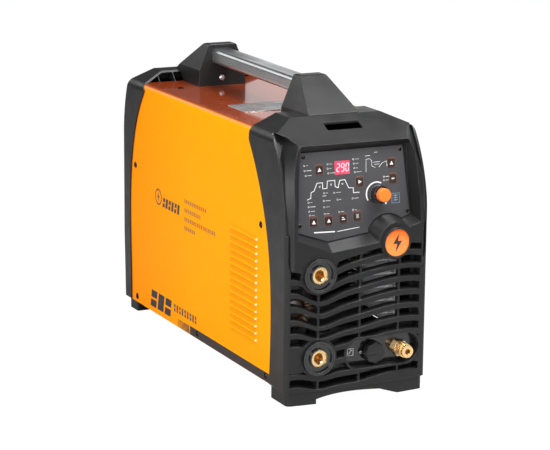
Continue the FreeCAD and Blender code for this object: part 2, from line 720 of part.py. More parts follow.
def rear_panel():
    plate = rounded_box_xz(-104, 104, 24, 358, 6.0, REAR_PANEL_Y, REAR_PANEL_Y + 2.0)
    plate = plate.multiFuse([box(-98, 98, 250, REAR_PANEL_Y + 2.0, 22.1, 23.7),
                             box(-98, 98, 250, 252, 20.7, 23.7), box(-98, 98, 232, 252, 20.7, 22.3),
                             box(-98, 98, REAR_PANEL_Y, REAR_PANEL_Y + 2.0, 22.1, 40.0)])
    holes = [cyl("y", FAN_X, FAN_Z, 68.0, 250, 280)]
    holes += [cyl("y", x, z, 2.2, 250, 280) for x, z in fan_corners()]
    holes.append(box(SWITCH_X - 15, SWITCH_X + 15, 250, 280, SWITCH_Z - 20, SWITCH_Z + 20))
    holes.append(cyl("y", GLAND[0], GLAND[1], 11.05, 250, 280))
    holes.append(cyl("y", INLET[0], INLET[1], 6.05, 250, 280))
    return plate.cut(holes)


def fan_frame():
    y0, y1 = FAN_Y
    body = rounded_box_xz(FAN_X - FAN_HALF, FAN_X + FAN_HALF, FAN_Z - FAN_HALF, FAN_Z + FAN_HALF, 6.0, y0, y1)
    body = body.cut(cyl("y", FAN_X, FAN_Z, 68.0, y0 - 1, y1 + 1))
    hub = cyl("y", FAN_X, FAN_Z, 24.0, y0, y0 + 4)
    arms = []
    for k in range(4):
        arm = box(FAN_X, FAN_X + 70, y0, y0 + 4, FAN_Z - 3, FAN_Z + 3)
        arm.rotate(V(FAN_X, 0, FAN_Z), V(0, 1, 0), 90 * k + 45)
        arms.append(arm)
    body = body.multiFuse([hub] + arms)
    holes = [cyl("y", x, z, 2.2, 200, 280) for x, z in fan_corners()]
    return body.cut(holes + [cyl("y", FAN_X, FAN_Z, 4.05, y0 - 1, y1 + 1)])


def fan_rotor():
    y0, y1 = FAN_Y
    hub = cyl("y", FAN_X, FAN_Z, 24.0, y0 + 5, y1 - 5)
    shaft = cyl("y", FAN_X, FAN_Z, 4.0, y0 - 2, y0 + 6)
    blades = []
    for k in range(7):
        root = box(FAN_X + 20, FAN_X + 66, y0 + 7.0, y0 + 9.5, FAN_Z - 20, FAN_Z + 20)
        root.rotate(V(FAN_X, y0 + 19, FAN_Z), V(1, 0, 0), 32)
        root.translate(V(0, 9, 0))
        blade = root.common(cyl("y", FAN_X, FAN_Z, 66.0, y0 + 6, y1 - 4))
        blade.rotate(V(FAN_X, 0, FAN_Z), V(0, 1, 0), 360.0 / 7 * k)
        blades.append(blade)
    return hub.multiFuse([shaft] + blades)


def fan_guard():
    """Wire guard on the outside of the rear panel: rings joined by four spokes with screw eyes."""
    y = REAR_PANEL_Y + 2.0
    wires = []
    for r in (14.0, 26.0, 38.0, 50.0, 62.0, 71.0):
        wires.append(Part.makeTorus(r, 1.2, V(FAN_X, y + 4.2, FAN_Z), V(0, 1, 0)))
    parts = []
    for k in range(4):
        spoke = cyl("x", y + 2.4, FAN_Z, 1.4, FAN_X + 13.0, FAN_X + 92.0)
        spoke.rotate(V(FAN_X, 0, FAN_Z), V(0, 1, 0), 90 * k + 45)
        parts.append(spoke)
    eyes = [cyl("y", x, z, 6.0, y, y + 3.8) for x, z in fan_corners()]
    guard = wires[0].multiFuse(wires[1:] + parts + eyes)
    return guard.cut([cyl("y", x, z, 2.2, 200, 280) for x, z in fan_corners()])


def mains_switch():
    y = REAR_PANEL_Y + 2.0
    bezel = rounded_box_xz(SWITCH_X - 18, SWITCH_X + 18, SWITCH_Z - 23, SWITCH_Z + 23, 3.0, y, y + 3.0)
    body = box(SWITCH_X - 14.9, SWITCH_X + 14.9, y - 32.0, y + 0.5, SWITCH_Z - 19.9, SWITCH_Z + 19.9)
    socket = cyl("x", y - 4.0, SWITCH_Z, 15.1, SWITCH_X - 10.1, SWITCH_X + 10.1)
    mouth = box(SWITCH_X - 10.1, SWITCH_X + 10.1, y - 4.0, y + 9, SWITCH_Z - 16.5, SWITCH_Z + 16.5)
    tags = []
    for dx in (-8, 8):
        for dz in (-10, 10):
            tags.append(box(SWITCH_X + dx - 3, SWITCH_X + dx + 3, y - 41, y - 31.5, SWITCH_Z + dz - 0.4,
                            SWITCH_Z + dz + 0.4))
    return bezel.fuse(body).cut([socket, mouth]).multiFuse(tags)


def mains_rocker():
    y = REAR_PANEL_Y + 2.0
    drum = cyl("x", y - 4.0, SWITCH_Z, 15.0, SWITCH_X - 10.0, SWITCH_X + 10.0)
    top = prism([(y - 30, SWITCH_Z - 20), (y + 8.5, SWITCH_Z - 20), (y + 3.2, SWITCH_Z),
                 (y + 8.5, SWITCH_Z + 20), (y - 30, SWITCH_Z + 20)], "yz", SWITCH_X - 11, SWITCH_X + 11)
    return drum.common(top)


def cable_gland():
    y = REAR_PANEL_Y + 2.0
    x, z = GLAND
    base = hexagon("y", x, z, 27.0, y, y + 6.0)
    thread = cyl("y", x, z, 11.0, y - 14.0, y + 0.5)
    nut = hexagon("y", x, z, 25.0, y + 7.0, y + 20.0)
    neck = cyl("y", x, z, 11.5, y + 5.5, y + 7.5)
    dome = Part.makeCone(12.5, 9.0, 6.0, V(x, y + 19.5, z), V(0, 1, 0))
    gland = base.multiFuse([thread, nut, neck, dome])
    return gland.cut(cyl("y", x, z, 7.0, 200, 330))


def mains_cable():
    """Sheathed cable through the gland, cut short behind the machine, with three cores inside it."""
    x, z = GLAND
    sheath = cyl("y", x, z, 7.0, 236.0, REAR_TIP)
    cores = []
    for k in range(3):
        t = math.radians(90 + 120 * k)
        cores.append(cyl("y", x + 3.1 * math.cos(t), z + 3.1 * math.sin(t), 2.4, 222.0, 236.5))
    return sheath.multiFuse(cores)


def gas_inlet():
    x, z = INLET
    y = REAR_PANEL_Y + 2.0
    body = hexagon("y", x, z, 17.0, y, y + 6.0)
    nose = cyl("y", x, z, 6.5, y + 5.5, y + 14.0)
    barbs = [Part.makeCone(5.6, 4.4, 5.0, V(x, y + 13.5 + 5.0 * k, z), V(0, 1, 0)) for k in range(4)]
    tail = cyl("y", x, z, 6.0, y - 18.0, y + 0.5)
    return body.multiFuse([nose, tail] + barbs).cut(cyl("y", x, z, 2.6, 200, 330))


def gas_valve():
    x, z = INLET
    block = box(x - 12, x + 12, 212.0, 246.0, z - 14, z + 12)
    ports = cyl("y", x, z, 3.0, 230, 250)
    seat = cyl("y", x, z - 8.0, 3.0, 205, 226)
    coil = cyl("z", x, 226.0, 15.0, z + 12, z + 44)
    coil = coil.cut(cyl("z", x, 226.0, 5.05, z + 4, z + 40))
    riser = cyl("z", x, 226.0, 5.05, z - 4, z + 40)
    return block.fuse(coil).cut([ports, riser, seat, cyl("y", x, z, 3.0, 224, 232)])


def gas_valve_plunger():
    x, z = INLET
    return cyl("z", x, 226.0, 5.0, z - 1.9, z + 34)


def gas_hose():
    x, z = INLET
    path = Part.BSplineCurve()
    points = [V(x, 211.9, z - 8.0), V(x + 2, 180, z - 12.0), V(92.0, 140, 41.0), V(95.0, 90, 37.0)]
    points += [V(96.0, y, 35.0) for y in (35, -20, -75)]
    points += [V(94.5, -130, 36.5), V(88.5, -185, 44.0), V(77.5, -232, 58.5), V(GAS_X, -259.0, GAS_Z)]
    path.interpolate(Points=points, InitialTangent=V(0, -30, 0), FinalTangent=V(0, -25, 0))
    spine = Part.Wire([path.toShape()])
    start = V(x, 211.9, z - 8.0)
    outer = Part.Wire([Part.Circle(start, V(0, 1, 0), 5.0).toShape()])
    inner = Part.Wire([Part.Circle(start, V(0, 1, 0), 3.0).toShape()])
    tube = spine.makePipeShell([outer], True, True)
    bore = spine.makePipeShell([inner], True, True)
    return tube.cut(bore)


# ---------------------------------------------------------------- handle

def tube_form(grow, y0, y1):
    """Outside of the handle tube, which falls slightly towards the front."""
    form = rounded_box_xz(-TUBE_HALF - grow, TUBE_HALF + grow, TUBE_Z[0] - grow, TUBE_Z[1] + grow,
                          6.0 + grow, y0, y1)
    form.rotate(V(0, 150.0, 418.0), V(1, 0, 0), TUBE_FALL)
    return form


def front_handle_bracket():
    top = FRONT_GRIP_TOP
    side = rounded_prism([(-219.0, TOP_Z, 0), (-152.5, top, 7.0), (-135.0, top, 2.0),
                          (-135.0, COVER_TOP, 0), (-175.5, COVER_TOP, 0), (-175.5, TOP_Z, 0)], "yz", -60, 60)
    face = rounded_prism([(-41.0, COVER_TOP, 0), (41.0, COVER_TOP, 0), (39.5, TOP_Z, 0), (20.5, top, 5.0),
                          (-20.5, top, 5.0), (-39.5, TOP_Z, 0)], "xz", -230, -120)
    tower = side.common(face)
    pocket = tube_form(0.05, -147.0, -100)
    screw = cyl("y", 0, 384.0, 2.55, -152, -100)
    return tower.cut([pocket, screw])


def rear_handle_bracket():
    low = TOP_Z + 0.05
    top = REAR_GRIP_TOP
    side = rounded_prism([(150.0, COVER_TOP, 0), (150.0, top, 2.0), (169.0, top, 7.0), (240.0, low, 0),
                          (224.5, low, 0), (208.5, COVER_TOP, 0)], "yz", -60, 60)
    face = rounded_prism([(-39.0, COVER_TOP, 0), (39.0, COVER_TOP, 0), (38.5, 397.0, 0), (22.5, top, 5.0),
                          (-22.5, top, 5.0), (-38.5, 397.0, 0)], "xz", 120, 260)
    tower = side.common(face)
    pocket = tube_form(0.05, 100, 162.0)
    screw = cyl("y", 0, 384.0, 2.55, 100, 167)
    return tower.cut([pocket, screw])


def handle_tube():
    return tube_form(0.0, -146.9, 161.9).cut(tube_form(-2.0, -150, 170))


def handle_screws():
    screw = pan_screw(5.0, 3.0, 2.5, 15.0)
    return [place(screw, (0, 1, 0), (0, -135.0, 384.0)), place(screw, (0, -1, 0), (0, 150.0, 384.0))]


# ---------------------------------------------------------------- control panel

def control_overlay():
    plate = Part.Face(overlay_outline()).extrude(V(0, OVERLAY_T, 0))
    plate = plate.cut(panel_holes(PANEL_Y - 1, PANEL_Y + 3, 0.25))
    plate = plate.cut([cyl("y", x, z, 1.6, PANEL_Y - 1, PANEL_Y + 3) for x, z in PANEL_SCREWS])
    return tilt(plate)


def overlay_screws():
    screw = pan_screw(2.8, 1.4, 1.25, 4.5)
    return tilt_all([place(screw, (0, -1, 0), (x, PANEL_Y, z)) for x, z in PANEL_SCREWS])


def control_board():
    y = PANEL_Y - BOARD_W
    board = box(-72, 80, y, y + BOARD_T, 240, 345)
    extras = []
    for x, z in BUTTONS.values():
        extras.append(box(x - 3, x + 3, y - 3.6, y + 0.1, z - 3, z + 3))
    extras.append(box(KNOB_X - 6.5, KNOB_X + 6.5, y - 6.5, y + 0.1, KNOB_Z - 6.5, KNOB_Z + 6.5))
    extras.append(ring("y", KNOB_X, KNOB_Z, 3.5, 3.05, PANEL_Y - 1.0, y - 6.4))
    x0, x1, z0, z1 = DISPLAY
    extras.append(box(x0 + 0.3, x1 - 0.3, PANEL_Y + 1.7, y + 0.1, z0 + 0.3, z1 - 0.3))
    extras.append(box(-60, -20, y + BOARD_T - 0.1, y + BOARD_T + 9, 285, 293))
    extras.append(box(0, 14, y + BOARD_T - 0.1, y + BOARD_T + 1.6, 290, 304))
    extras.append(box(40, 66, y + BOARD_T - 0.1, y + BOARD_T + 11, 262, 271))
    board = board.multiFuse(extras)
    return tilt(board.cut(cyl("y", KNOB_X, KNOB_Z, 3.05, PANEL_Y - 2.0, y - 2.0)))


def display_window():
    x0, x1, z0, z1 = DISPLAY
    return tilt(box(x0 - 0.2, x1 + 0.2, PANEL_Y + 0.3, PANEL_Y + 1.6, z0 - 0.2, z1 + 0.2))


def button(x, z):
    """Square key cap with a stem that ends just above its switch."""
    h = BUTTON_HALF
    y = PANEL_Y
    cap = rounded_box_xz(x - h, x + h, z - h, z + h, 0.6, y - 0.9, y + 5.0)
    stem = cyl("y", x, z, 1.6, y + 4.9, y - BOARD_W - 3.6 - 0.7)
    flange = box(x - h - 0.9, x + h + 0.9, y + 4.7, y + 5.6, z - h - 0.9, z + h + 0.9)
    return tilt(cap.multiFuse([stem, flange]))


def encoder_shaft():
    y = PANEL_Y - BOARD_W
    shaft = cyl("y", KNOB_X, KNOB_Z, 3.0, PANEL_Y - 15.0, y - 2.2)
    return tilt(shaft)


def knob():
    y = PANEL_Y
    body = Part.makeCone(13.2, 12.2, 13.0, V(KNOB_X, y - 1.6, KNOB_Z), V(0, -1, 0))
    rim = cyl("y", KNOB_X, KNOB_Z, 9.8, y - 17.0, y - 14.0)
    flutes = []
    for k in range(24):
        t = math.radians(15 * k)
        flutes.append(cyl("y", KNOB_X + 13.6 * math.cos(t), KNOB_Z + 13.6 * math.sin(t), 0.9, y - 20, y))
    body = body.cut(flutes).fuse(rim)
    bores = [cyl("y", KNOB_X, KNOB_Z, 3.0, y - 15.0, y), cyl("y", KNOB_X, KNOB_Z, 4.2, y - 3.0, y)]
    return tilt(body.cut(bores))


def knob_cap():
    y = PANEL_Y
    skirt = cyl("y", KNOB_X, KNOB_Z, 9.4, y - 24.0, y - 17.0)
    face = Part.makeCone(9.4, 8.6, 1.0, V(KNOB_X, y - 24.0, KNOB_Z), V(0, -1, 0))
    dimple = cyl("y", KNOB_X, KNOB_Z - 6.5, 1.2, y - 26.0, y - 24.4)
    return tilt(skirt.fuse(face).cut(dimple))


# ---------------------------------------------------------------- front fittings

def badge_disc():
    """Slightly domed disc in the ring on the front."""
    dome = Part.makeSphere(150.0, V(BADGE[0], 150.0 - 305.6, BADGE[1]))
    return cyl("y", BADGE[0], BADGE[1], 19.35, -307.0, -302.4).common(dome)


def socket_housing(z):
    x = SOCKET_X
    flange = cyl("y", x, z, SOCKET_R, -305.0, -292.0)
    body = cyl("y", x, z, 17.0, -292.5, -262.0)
    cup = cyl("y", x, z, 19.5, -306, -302.0).cut(cyl("y", x, z, 14.0, -307, -300))
    groove = ring("y", x, z, 22.2, 20.8, -306, -304.2)
    bore = cyl("y", x, z, CONTACT_R, -310, -250)
    return flange.fuse(body).cut([cup, groove, bore])


def socket_contact(z):
    x = SOCKET_X
    body = cyl("y", x, z, CONTACT_R, -303.0, -262.0)
    stud = cyl("y", x, z, 6.0, -262.5, -236.0)
    flare = Part.makeCone(8.0, CONTACT_BORE, 1.4, V(x, -303.0, z), V(0, 1, 0))
    bore = cyl("y", x, z, CONTACT_BORE, -310, -271.0)
    key = box(x - 2.2, x + 2.2, -310, -271.0, z - CONTACT_BORE - 2.4, z)
    return body.fuse(stud).cut([flare, bore, key])


def connector_plate():
    plate = stadium(-0.2, RECESS_FLOOR, RECESS_FLOOR + 1.5)
    return plate.cut([cyl("y", CAP_X, CAP_Z, 11.05, -300, -270), cyl("y", GAS_X, GAS_Z, 8.05, -300, -270)])


def control_socket():
    flange = cyl("y", CAP_X, CAP_Z, 13.0, RECESS_FLOOR - 2.0, RECESS_FLOOR)
    barrel = ring("y", CAP_X, CAP_Z, 10.0, 8.6, RECESS_FLOOR - 8.0, RECESS_FLOOR)
    core = cyl("y", CAP_X, CAP_Z, 11.0, RECESS_FLOOR - 0.5, RECESS_FLOOR + 12.0)
    pins = []
    for k in range(5):
        t = math.radians(72 * k)
        pins.append(cyl("y", CAP_X + 4.8 * math.cos(t), CAP_Z + 4.8 * math.sin(t), 0.9, RECESS_FLOOR - 6.5,
                        RECESS_FLOOR))
    return flange.multiFuse([barrel, core] + pins)


def control_socket_cap():
    """Rubber cap over the control socket, with a gripping rim and a pull tab."""
    y = RECESS_FLOOR - 2.05
    shell = cyl("y", CAP_X, CAP_Z, 15.0, y - 9.5, y)
    cavity = cyl("y", CAP_X, CAP_Z, 10.05, y - 7.0, y + 1)
    flutes = []
    for k in range(8):
        t = math.radians(45 * k + 22.5)
        flutes.append(cyl("y", CAP_X + 17.6 * math.cos(t), CAP_Z + 17.6 * math.sin(t), 4.2, y - 20, y - 2.0))
    tab = box(CAP_X - 13.5, CAP_X, y - 10.6, y - 9.4, CAP_Z - 1.2, CAP_Z + 1.2)
    return shell.cut([cavity] + flutes).fuse(tab)


def cap_cord():
    """Short cord that keeps the cap with the machine."""
    path = Part.BSplineCurve()
    start = V(7.5, RECESS_FLOOR - 0.95, CAP_Z)
    path.interpolate([start, V(8.5, -290.0, CAP_Z + 1.5), V(13.8, -292.5, CAP_Z)])
    spine = Part.Wire([path.toShape()])
    circle = Part.Circle(start, path.tangent(path.FirstParameter)[0], 0.8)
    cord = spine.makePipeShell([Part.Wire([circle.toShape()])], True, True)
    eye = cyl("y", 7.5, CAP_Z, 2.4, RECESS_FLOOR - 1.2, RECESS_FLOOR)
    return cord.fuse(eye)


def gas_outlet():
    y = RECESS_FLOOR
    flange = hexagon("y", GAS_X, GAS_Z, 21.0, y - 6.0, y)
    barrel = cyl("y", GAS_X, GAS_Z, 8.7, FRONT_TIP, y - 5.5)
    barrel = barrel.fuse(cyl("y", GAS_X, GAS_Z, 10.0, -303.0, y - 5.5))
    grooves = [ring("y", GAS_X, GAS_Z, 11.0, 9.2, -301.8 + 1.9 * k, -300.9 + 1.9 * k) for k in range(6)]
    grooves.append(ring("y", GAS_X, GAS_Z, 11.0, 7.9, -305.0, -303.6))
    tail = cyl("y", GAS_X, GAS_Z, 8.0, y - 0.5, y + 14.0)
    barb = cyl("y", GAS_X, GAS_Z, 2.6, y + 13.5, y + 34.0)
    body = flange.multiFuse([barrel, tail, barb]).cut(grooves)
    return body.cut([cyl("y", GAS_X, GAS_Z, 4.0, FRONT_TIP - 1, FRONT_TIP + 22.0),
                     cyl("y", GAS_X, GAS_Z, 1.6, FRONT_TIP, y + 60)])


def panel_nuts():
    """Hexagon nuts behind the panels, on the sockets, the gas outlet and the cable gland."""
    places = [(SOCKET_X, z, 19.0, 6.0, -252.0, -244.0) for z in SOCKET_ZS]
    places.append((GAS_X, GAS_Z, 21.0, 8.0, RECESS_FLOOR + 1.5, RECESS_FLOOR + 6.5))
    places.append((CAP_X, CAP_Z, 27.0, 11.0, RECESS_FLOOR + 1.5, RECESS_FLOOR + 5.5))
    places.append((GLAND[0], GLAND[1], 27.0, 11.0, REAR_PANEL_Y - 5.0, REAR_PANEL_Y))
    return [hexagon("y", x, z, across, y0, y1).cut(cyl("y", x, z, r, y0 - 1, y1 + 1))
            for x, z, across, r, y0, y1 in places]


# ---------------------------------------------------------------- inside

def base_tray():
    x = COVER_HALF - COVER_T - 0.1
    floor = box(-x, x, -240.0, 250.0, BODY_BOTTOM + 0.2, BODY_BOTTOM + 1.7)
    sides = [box(-x, -x + 1.5, -240.0, 250.0, BODY_BOTTOM + 0.2, 44.0),
             box(x - 1.5, x, -240.0, 250.0, BODY_BOTTOM + 0.2, 44.0)]
    cx, cy, cz = CHOKE
    web = box(cx - 24, cx + 24, -236.2, -234.2, BODY_BOTTOM + 1.5, cz + 34)
    web = web.cut(box(cx - 12, cx + 25, -240, -230, 48, 84))
    tray = floor.multiFuse(sides + [web])
    holes = [cyl("x", y, z, 2.05, -120, 120) for y, z in SIDE_SCREWS if z < 100]
    return tray.cut(holes)


def front_panel():
    y = SUBPANEL_Y
    plate = box(-104, 104, y, y + 1.5, 24, 216)
    plate = plate.multiFuse([box(-104, 104, y, y + 1.5, 22.1, 24.5), box(-104, 104, y, -238.0, 22.1, 23.7),
                             box(-104, 104, -239.5, -238.0, 20.7, 23.7),
                             box(-104, 104, -239.5, -237.0, 20.7, 22.3)])
    holes = [cyl("y", SOCKET_X, z, 17.05, -300, -250) for z in SOCKET_ZS]
    holes.append(rounded_box_xz(-30, 98, 96, 206, 4.0, -300, -250))
    holes.append(rounded_box_xz(-98, -26, 92, 158, 4.0, -300, -250))
    holes.append(stadium(-1.0, -300, -250))
    return plate.cut(holes)


def shelf():
    """Middle shelf that separates the air tunnel from the electronics."""
    x = COVER_HALF - COVER_T - 0.1
    plate = box(-x, x, -226.0, 246.0, SHELF_Z, SHELF_Z + 1.5)
    sides = [box(-x, -x + 1.5, -226.0, 246.0, SHELF_Z, 250.0), box(x - 1.5, x, -226.0, 246.0, SHELF_Z, 250.0)]
    out = plate.multiFuse(sides)
    holes = [cyl("x", y, z, 2.05, -120, 120) for y, z in SIDE_SCREWS if z > 100]
    for x0 in MODULE_XS:
        for y0 in MODULE_YS:
            holes.append(box(x0 - 18, x0 + 18, y0 - 48, y0 + 48, 200, 260))
    return out.cut(holes)


MODULE_XS = (-48.0, 38.0)
MODULE_YS = (20.0, 130.0)
FIN_PITCH = 9.62


def heat_sink(x_mid):
    base = box(x_mid - 40, x_mid + 40, -45.0, 195.0, SHELF_Z - 8, SHELF_Z)
    fins = []
    for k in range(14):
        x = x_mid - 39.0 + 6.0 * k
        fins.append(box(x - 0.9, x + 0.9, -45.0, 195.0, SHELF_Z - 78, SHELF_Z - 7.5))
    return base.multiFuse(fins)


def rectifier_sink():
    """Stack of flat fins behind the grille, hung from the shelf by its base plate."""
    fins = []
    for k in range(11):
        z = 96.0 + FIN_PITCH * k
        x0 = max(34.0, 34.0 + (140.0 - z) * 0.7)
        fin = box(x0, 79.5, -262.0, -205.0, z, z + 1.6)
        notches = [box(x, x + 1.0, -263, -258.5, z - 1, z + 3) for x in (40.5, 47.5, 54.5, 61.5, 68.5, 74.0)]
        fins.append(fin.cut(notches))
    base = box(79.0, 84.0, -258.0, -205.0, 94.0, 206.0)
    hanger = box(79.0, 84.0, -226.0, -205.0, 205.0, SHELF_Z)
    return base.multiFuse([hanger] + fins)


def power_modules():
    out = []
    for x in MODULE_XS:
        for y in MODULE_YS:
            body = box(x - 17, x + 17, y - 47, y + 47, SHELF_Z, SHELF_Z + 24)
            posts = [cyl("z", x, y + dy, 6.0, SHELF_Z + 23.5, SHELF_Z + 29) for dy in (-28, 0, 28)]
            out.append(body.multiFuse(posts))
    return out


def main_board():
    z = SHELF_Z + 29
    board = box(-97, 97, -120, 205, z, z + 1.6)
    parts = [box(-90, -60, -110, -80, z + 1.5, z + 26), box(-50, -20, -112, -84, z + 1.5, z + 22),
             box(60, 84, -100, -60, z + 1.5, z + 18), box(70, 90, 170, 196, z + 1.5, z + 14)]
    return board.multiFuse(parts)


def bus_capacitors():
    z = SHELF_Z + 30.6
    out = []
    for x in (-48.0, -3.0, 42.0):
        for y in (-10.0, 35.0, 80.0):
            can = cyl("z", x, y, 17.5, z, z + 62)
            groove = ring("z", x, y, 19.0, 16.6, z + 5.0, z + 7.0)
            vent = cyl("z", x, y, 14.5, z + 61.2, z + 63)
            out.append(can.cut([groove, vent]))
    return out


def transformer_core():
    z = BODY_BOTTOM + 1.7
    outer = box(-20, 70, -190, -80, z, z + 86)
    windows = [box(-21, 71, -171, -150, z + 16, z + 70), box(-21, 71, -120, -99, z + 16, z + 70)]
    return outer.cut(windows)


def transformer_winding():
    z = BODY_BOTTOM + 1.7
    tall = rounded_prism([(-32, -170.5, 12), (82, -170.5, 12), (82, -99.5, 12), (-32, -99.5, 12)], "xy",
                         z + 18, z + 68)
    hole = box(-20, 70, -150, -120, z, z + 90)
    return tall.cut(hole)


CHOKE = (-72.0, -246.0, 124.0)
CHOKE_R = 21.0
CHOKE_TUBE = 7.0


def choke_core():
    return Part.makeTorus(CHOKE_R, CHOKE_TUBE, V(*CHOKE), V(0, 1, 0))


def choke_winding():
    turns = []
    x, y, z = CHOKE
    for k in range(22):
        a = 360.0 / 22 * k
        turn = Part.makeTorus(CHOKE_TUBE + 1.4, 1.3, V(x + CHOKE_R, y, z), V(0, 0, 1))
        turn.rotate(V(x, y, z), V(0, 1, 0), a)
        turns.append(turn)
    return turns


def output_busbars():
    out = []
    for z in SOCKET_ZS:
        bar = box(SOCKET_X - 10, SOCKET_X + 10, -243.9, -240.9, z - 10, z + 10)
        run = box(SOCKET_X + 7, SOCKET_X + 10, -243.9, -150.0, z - 10, z + 10)
        out.append(bar.fuse(run).cut(cyl("y", SOCKET_X, z, 6.05, -250, -230)))
    return out


def build():
    os.makedirs("parts", exist_ok=True)
    save("front_bezel", front_bezel())
    save("rear_bezel", rear_bezel())
    save("top_cover", top_cover())
    save("case_screws", case_screws())
    save("rating_plate", rating_plate())
    save("rear_panel", rear_panel())
    save("fan_frame", fan_frame())
    save("fan_rotor", fan_rotor())
    save("fan_guard", fan_guard())
    save("mains_switch", mains_switch())
    save("mains_rocker", mains_rocker())
    save("cable_gland", cable_gland())
    save("mains_cable", mains_cable())
    save("gas_inlet", gas_inlet())
    save("gas_valve", gas_valve())
    save("gas_valve_plunger", gas_valve_plunger())
    save("gas_hose", gas_hose())
    save("front_handle_bracket", front_handle_bracket())
    save("rear_handle_bracket", rear_handle_bracket())
    save("handle_tube", handle_tube())
    save("handle_screws", handle_screws())
    save("control_overlay", control_overlay())
    save("overlay_screws", overlay_screws())
    save("control_board", control_board())
    save("display_window", display_window())
    for name, at in BUTTONS.items():
        save("button_" + name, button(*at))
    save("encoder_shaft", encoder_shaft())
    save("knob", knob())
    save("knob_cap", knob_cap())
    save("badge_disc", badge_disc())
    save("upper_socket_housing", socket_housing(SOCKET_ZS[0]))
    save("lower_socket_housing", socket_housing(SOCKET_ZS[1]))
    save("upper_socket_contact", socket_contact(SOCKET_ZS[0]))
    save("lower_socket_contact", socket_contact(SOCKET_ZS[1]))
    save("connector_plate", connector_plate())
    save("control_socket", control_socket())
    save("control_socket_cap", control_socket_cap())
    save("cap_cord", cap_cord())
    save("gas_outlet", gas_outlet())
    save("panel_nuts", panel_nuts())
    save("base_tray", base_tray())
    save("front_panel", front_panel())
    save("shelf", shelf())
    save("heat_sinks", [heat_sink(x) for x in MODULE_XS] + [rectifier_sink()])
    save("power_modules", power_modules())
    save("main_board", main_board())
    save("bus_capacitors", bus_capacitors())
    save("transformer_core", transformer_core())
    save("transformer_winding", transformer_winding())
    save("choke_core", choke_core())
    save("choke_winding", choke_winding())
    save("output_busbars", output_busbars())


build()
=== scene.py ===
import json
import math

import bmesh
import bpy
from mathutils import Matrix, Vector

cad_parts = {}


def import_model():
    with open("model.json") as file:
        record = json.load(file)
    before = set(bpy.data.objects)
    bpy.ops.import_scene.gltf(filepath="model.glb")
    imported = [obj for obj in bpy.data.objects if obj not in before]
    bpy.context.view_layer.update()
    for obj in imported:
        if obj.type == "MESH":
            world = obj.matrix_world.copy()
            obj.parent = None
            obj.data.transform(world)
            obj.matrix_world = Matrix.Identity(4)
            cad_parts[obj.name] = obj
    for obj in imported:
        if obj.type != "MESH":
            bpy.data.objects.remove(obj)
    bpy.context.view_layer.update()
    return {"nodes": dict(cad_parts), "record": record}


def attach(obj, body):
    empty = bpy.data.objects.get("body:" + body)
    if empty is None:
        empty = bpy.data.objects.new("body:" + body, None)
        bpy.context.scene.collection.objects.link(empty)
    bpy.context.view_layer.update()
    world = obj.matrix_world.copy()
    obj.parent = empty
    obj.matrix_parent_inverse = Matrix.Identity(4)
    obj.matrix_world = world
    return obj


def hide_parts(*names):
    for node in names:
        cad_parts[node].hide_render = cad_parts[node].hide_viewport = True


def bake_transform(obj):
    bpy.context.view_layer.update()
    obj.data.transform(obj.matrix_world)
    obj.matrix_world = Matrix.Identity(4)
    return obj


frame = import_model()
NODES = frame["nodes"]

MM = 0.001
CHASSIS = "chassis"

# the control panel leans back about this line (y, z in mm)
PANEL_PIVOT = (-277.7, 300.0)
PANEL_TILT = math.radians(-5.7)

# printed marks start just above their surface and end at their thickness (mm)
PANEL_INK = (0.02, 0.14)
COVER_INK = (0.02, 0.12)
PLATE_INK = (0.02, 0.1)
KEY_INK = (0.88, 1.02)        # on top of the keys, which stand out of the panel
DIGIT_INK = (-0.28, -0.12)    # inside the display window

# planes that carry marks (mm)
COVER_SIDE_X = 108.0
BADGE_FRONT_Y = -305.6
PLATE_TOP_Z = 372.8
RECESS_FLOOR_Y = -285.0

# the cover's rounded top edges (m): centre of a bend in section, a radius between its two skins,
# and a height that only the top is above
BEND_CENTRE = (0.1, 0.364)
BEND_SKIN_RADIUS = 0.00742
COVER_TOP_ABOVE = 0.36

BADGE_BOTTOM_Z, BADGE_TOP_Z = 0.200, 0.237


# ---------------------------------------------------------------- node graphs

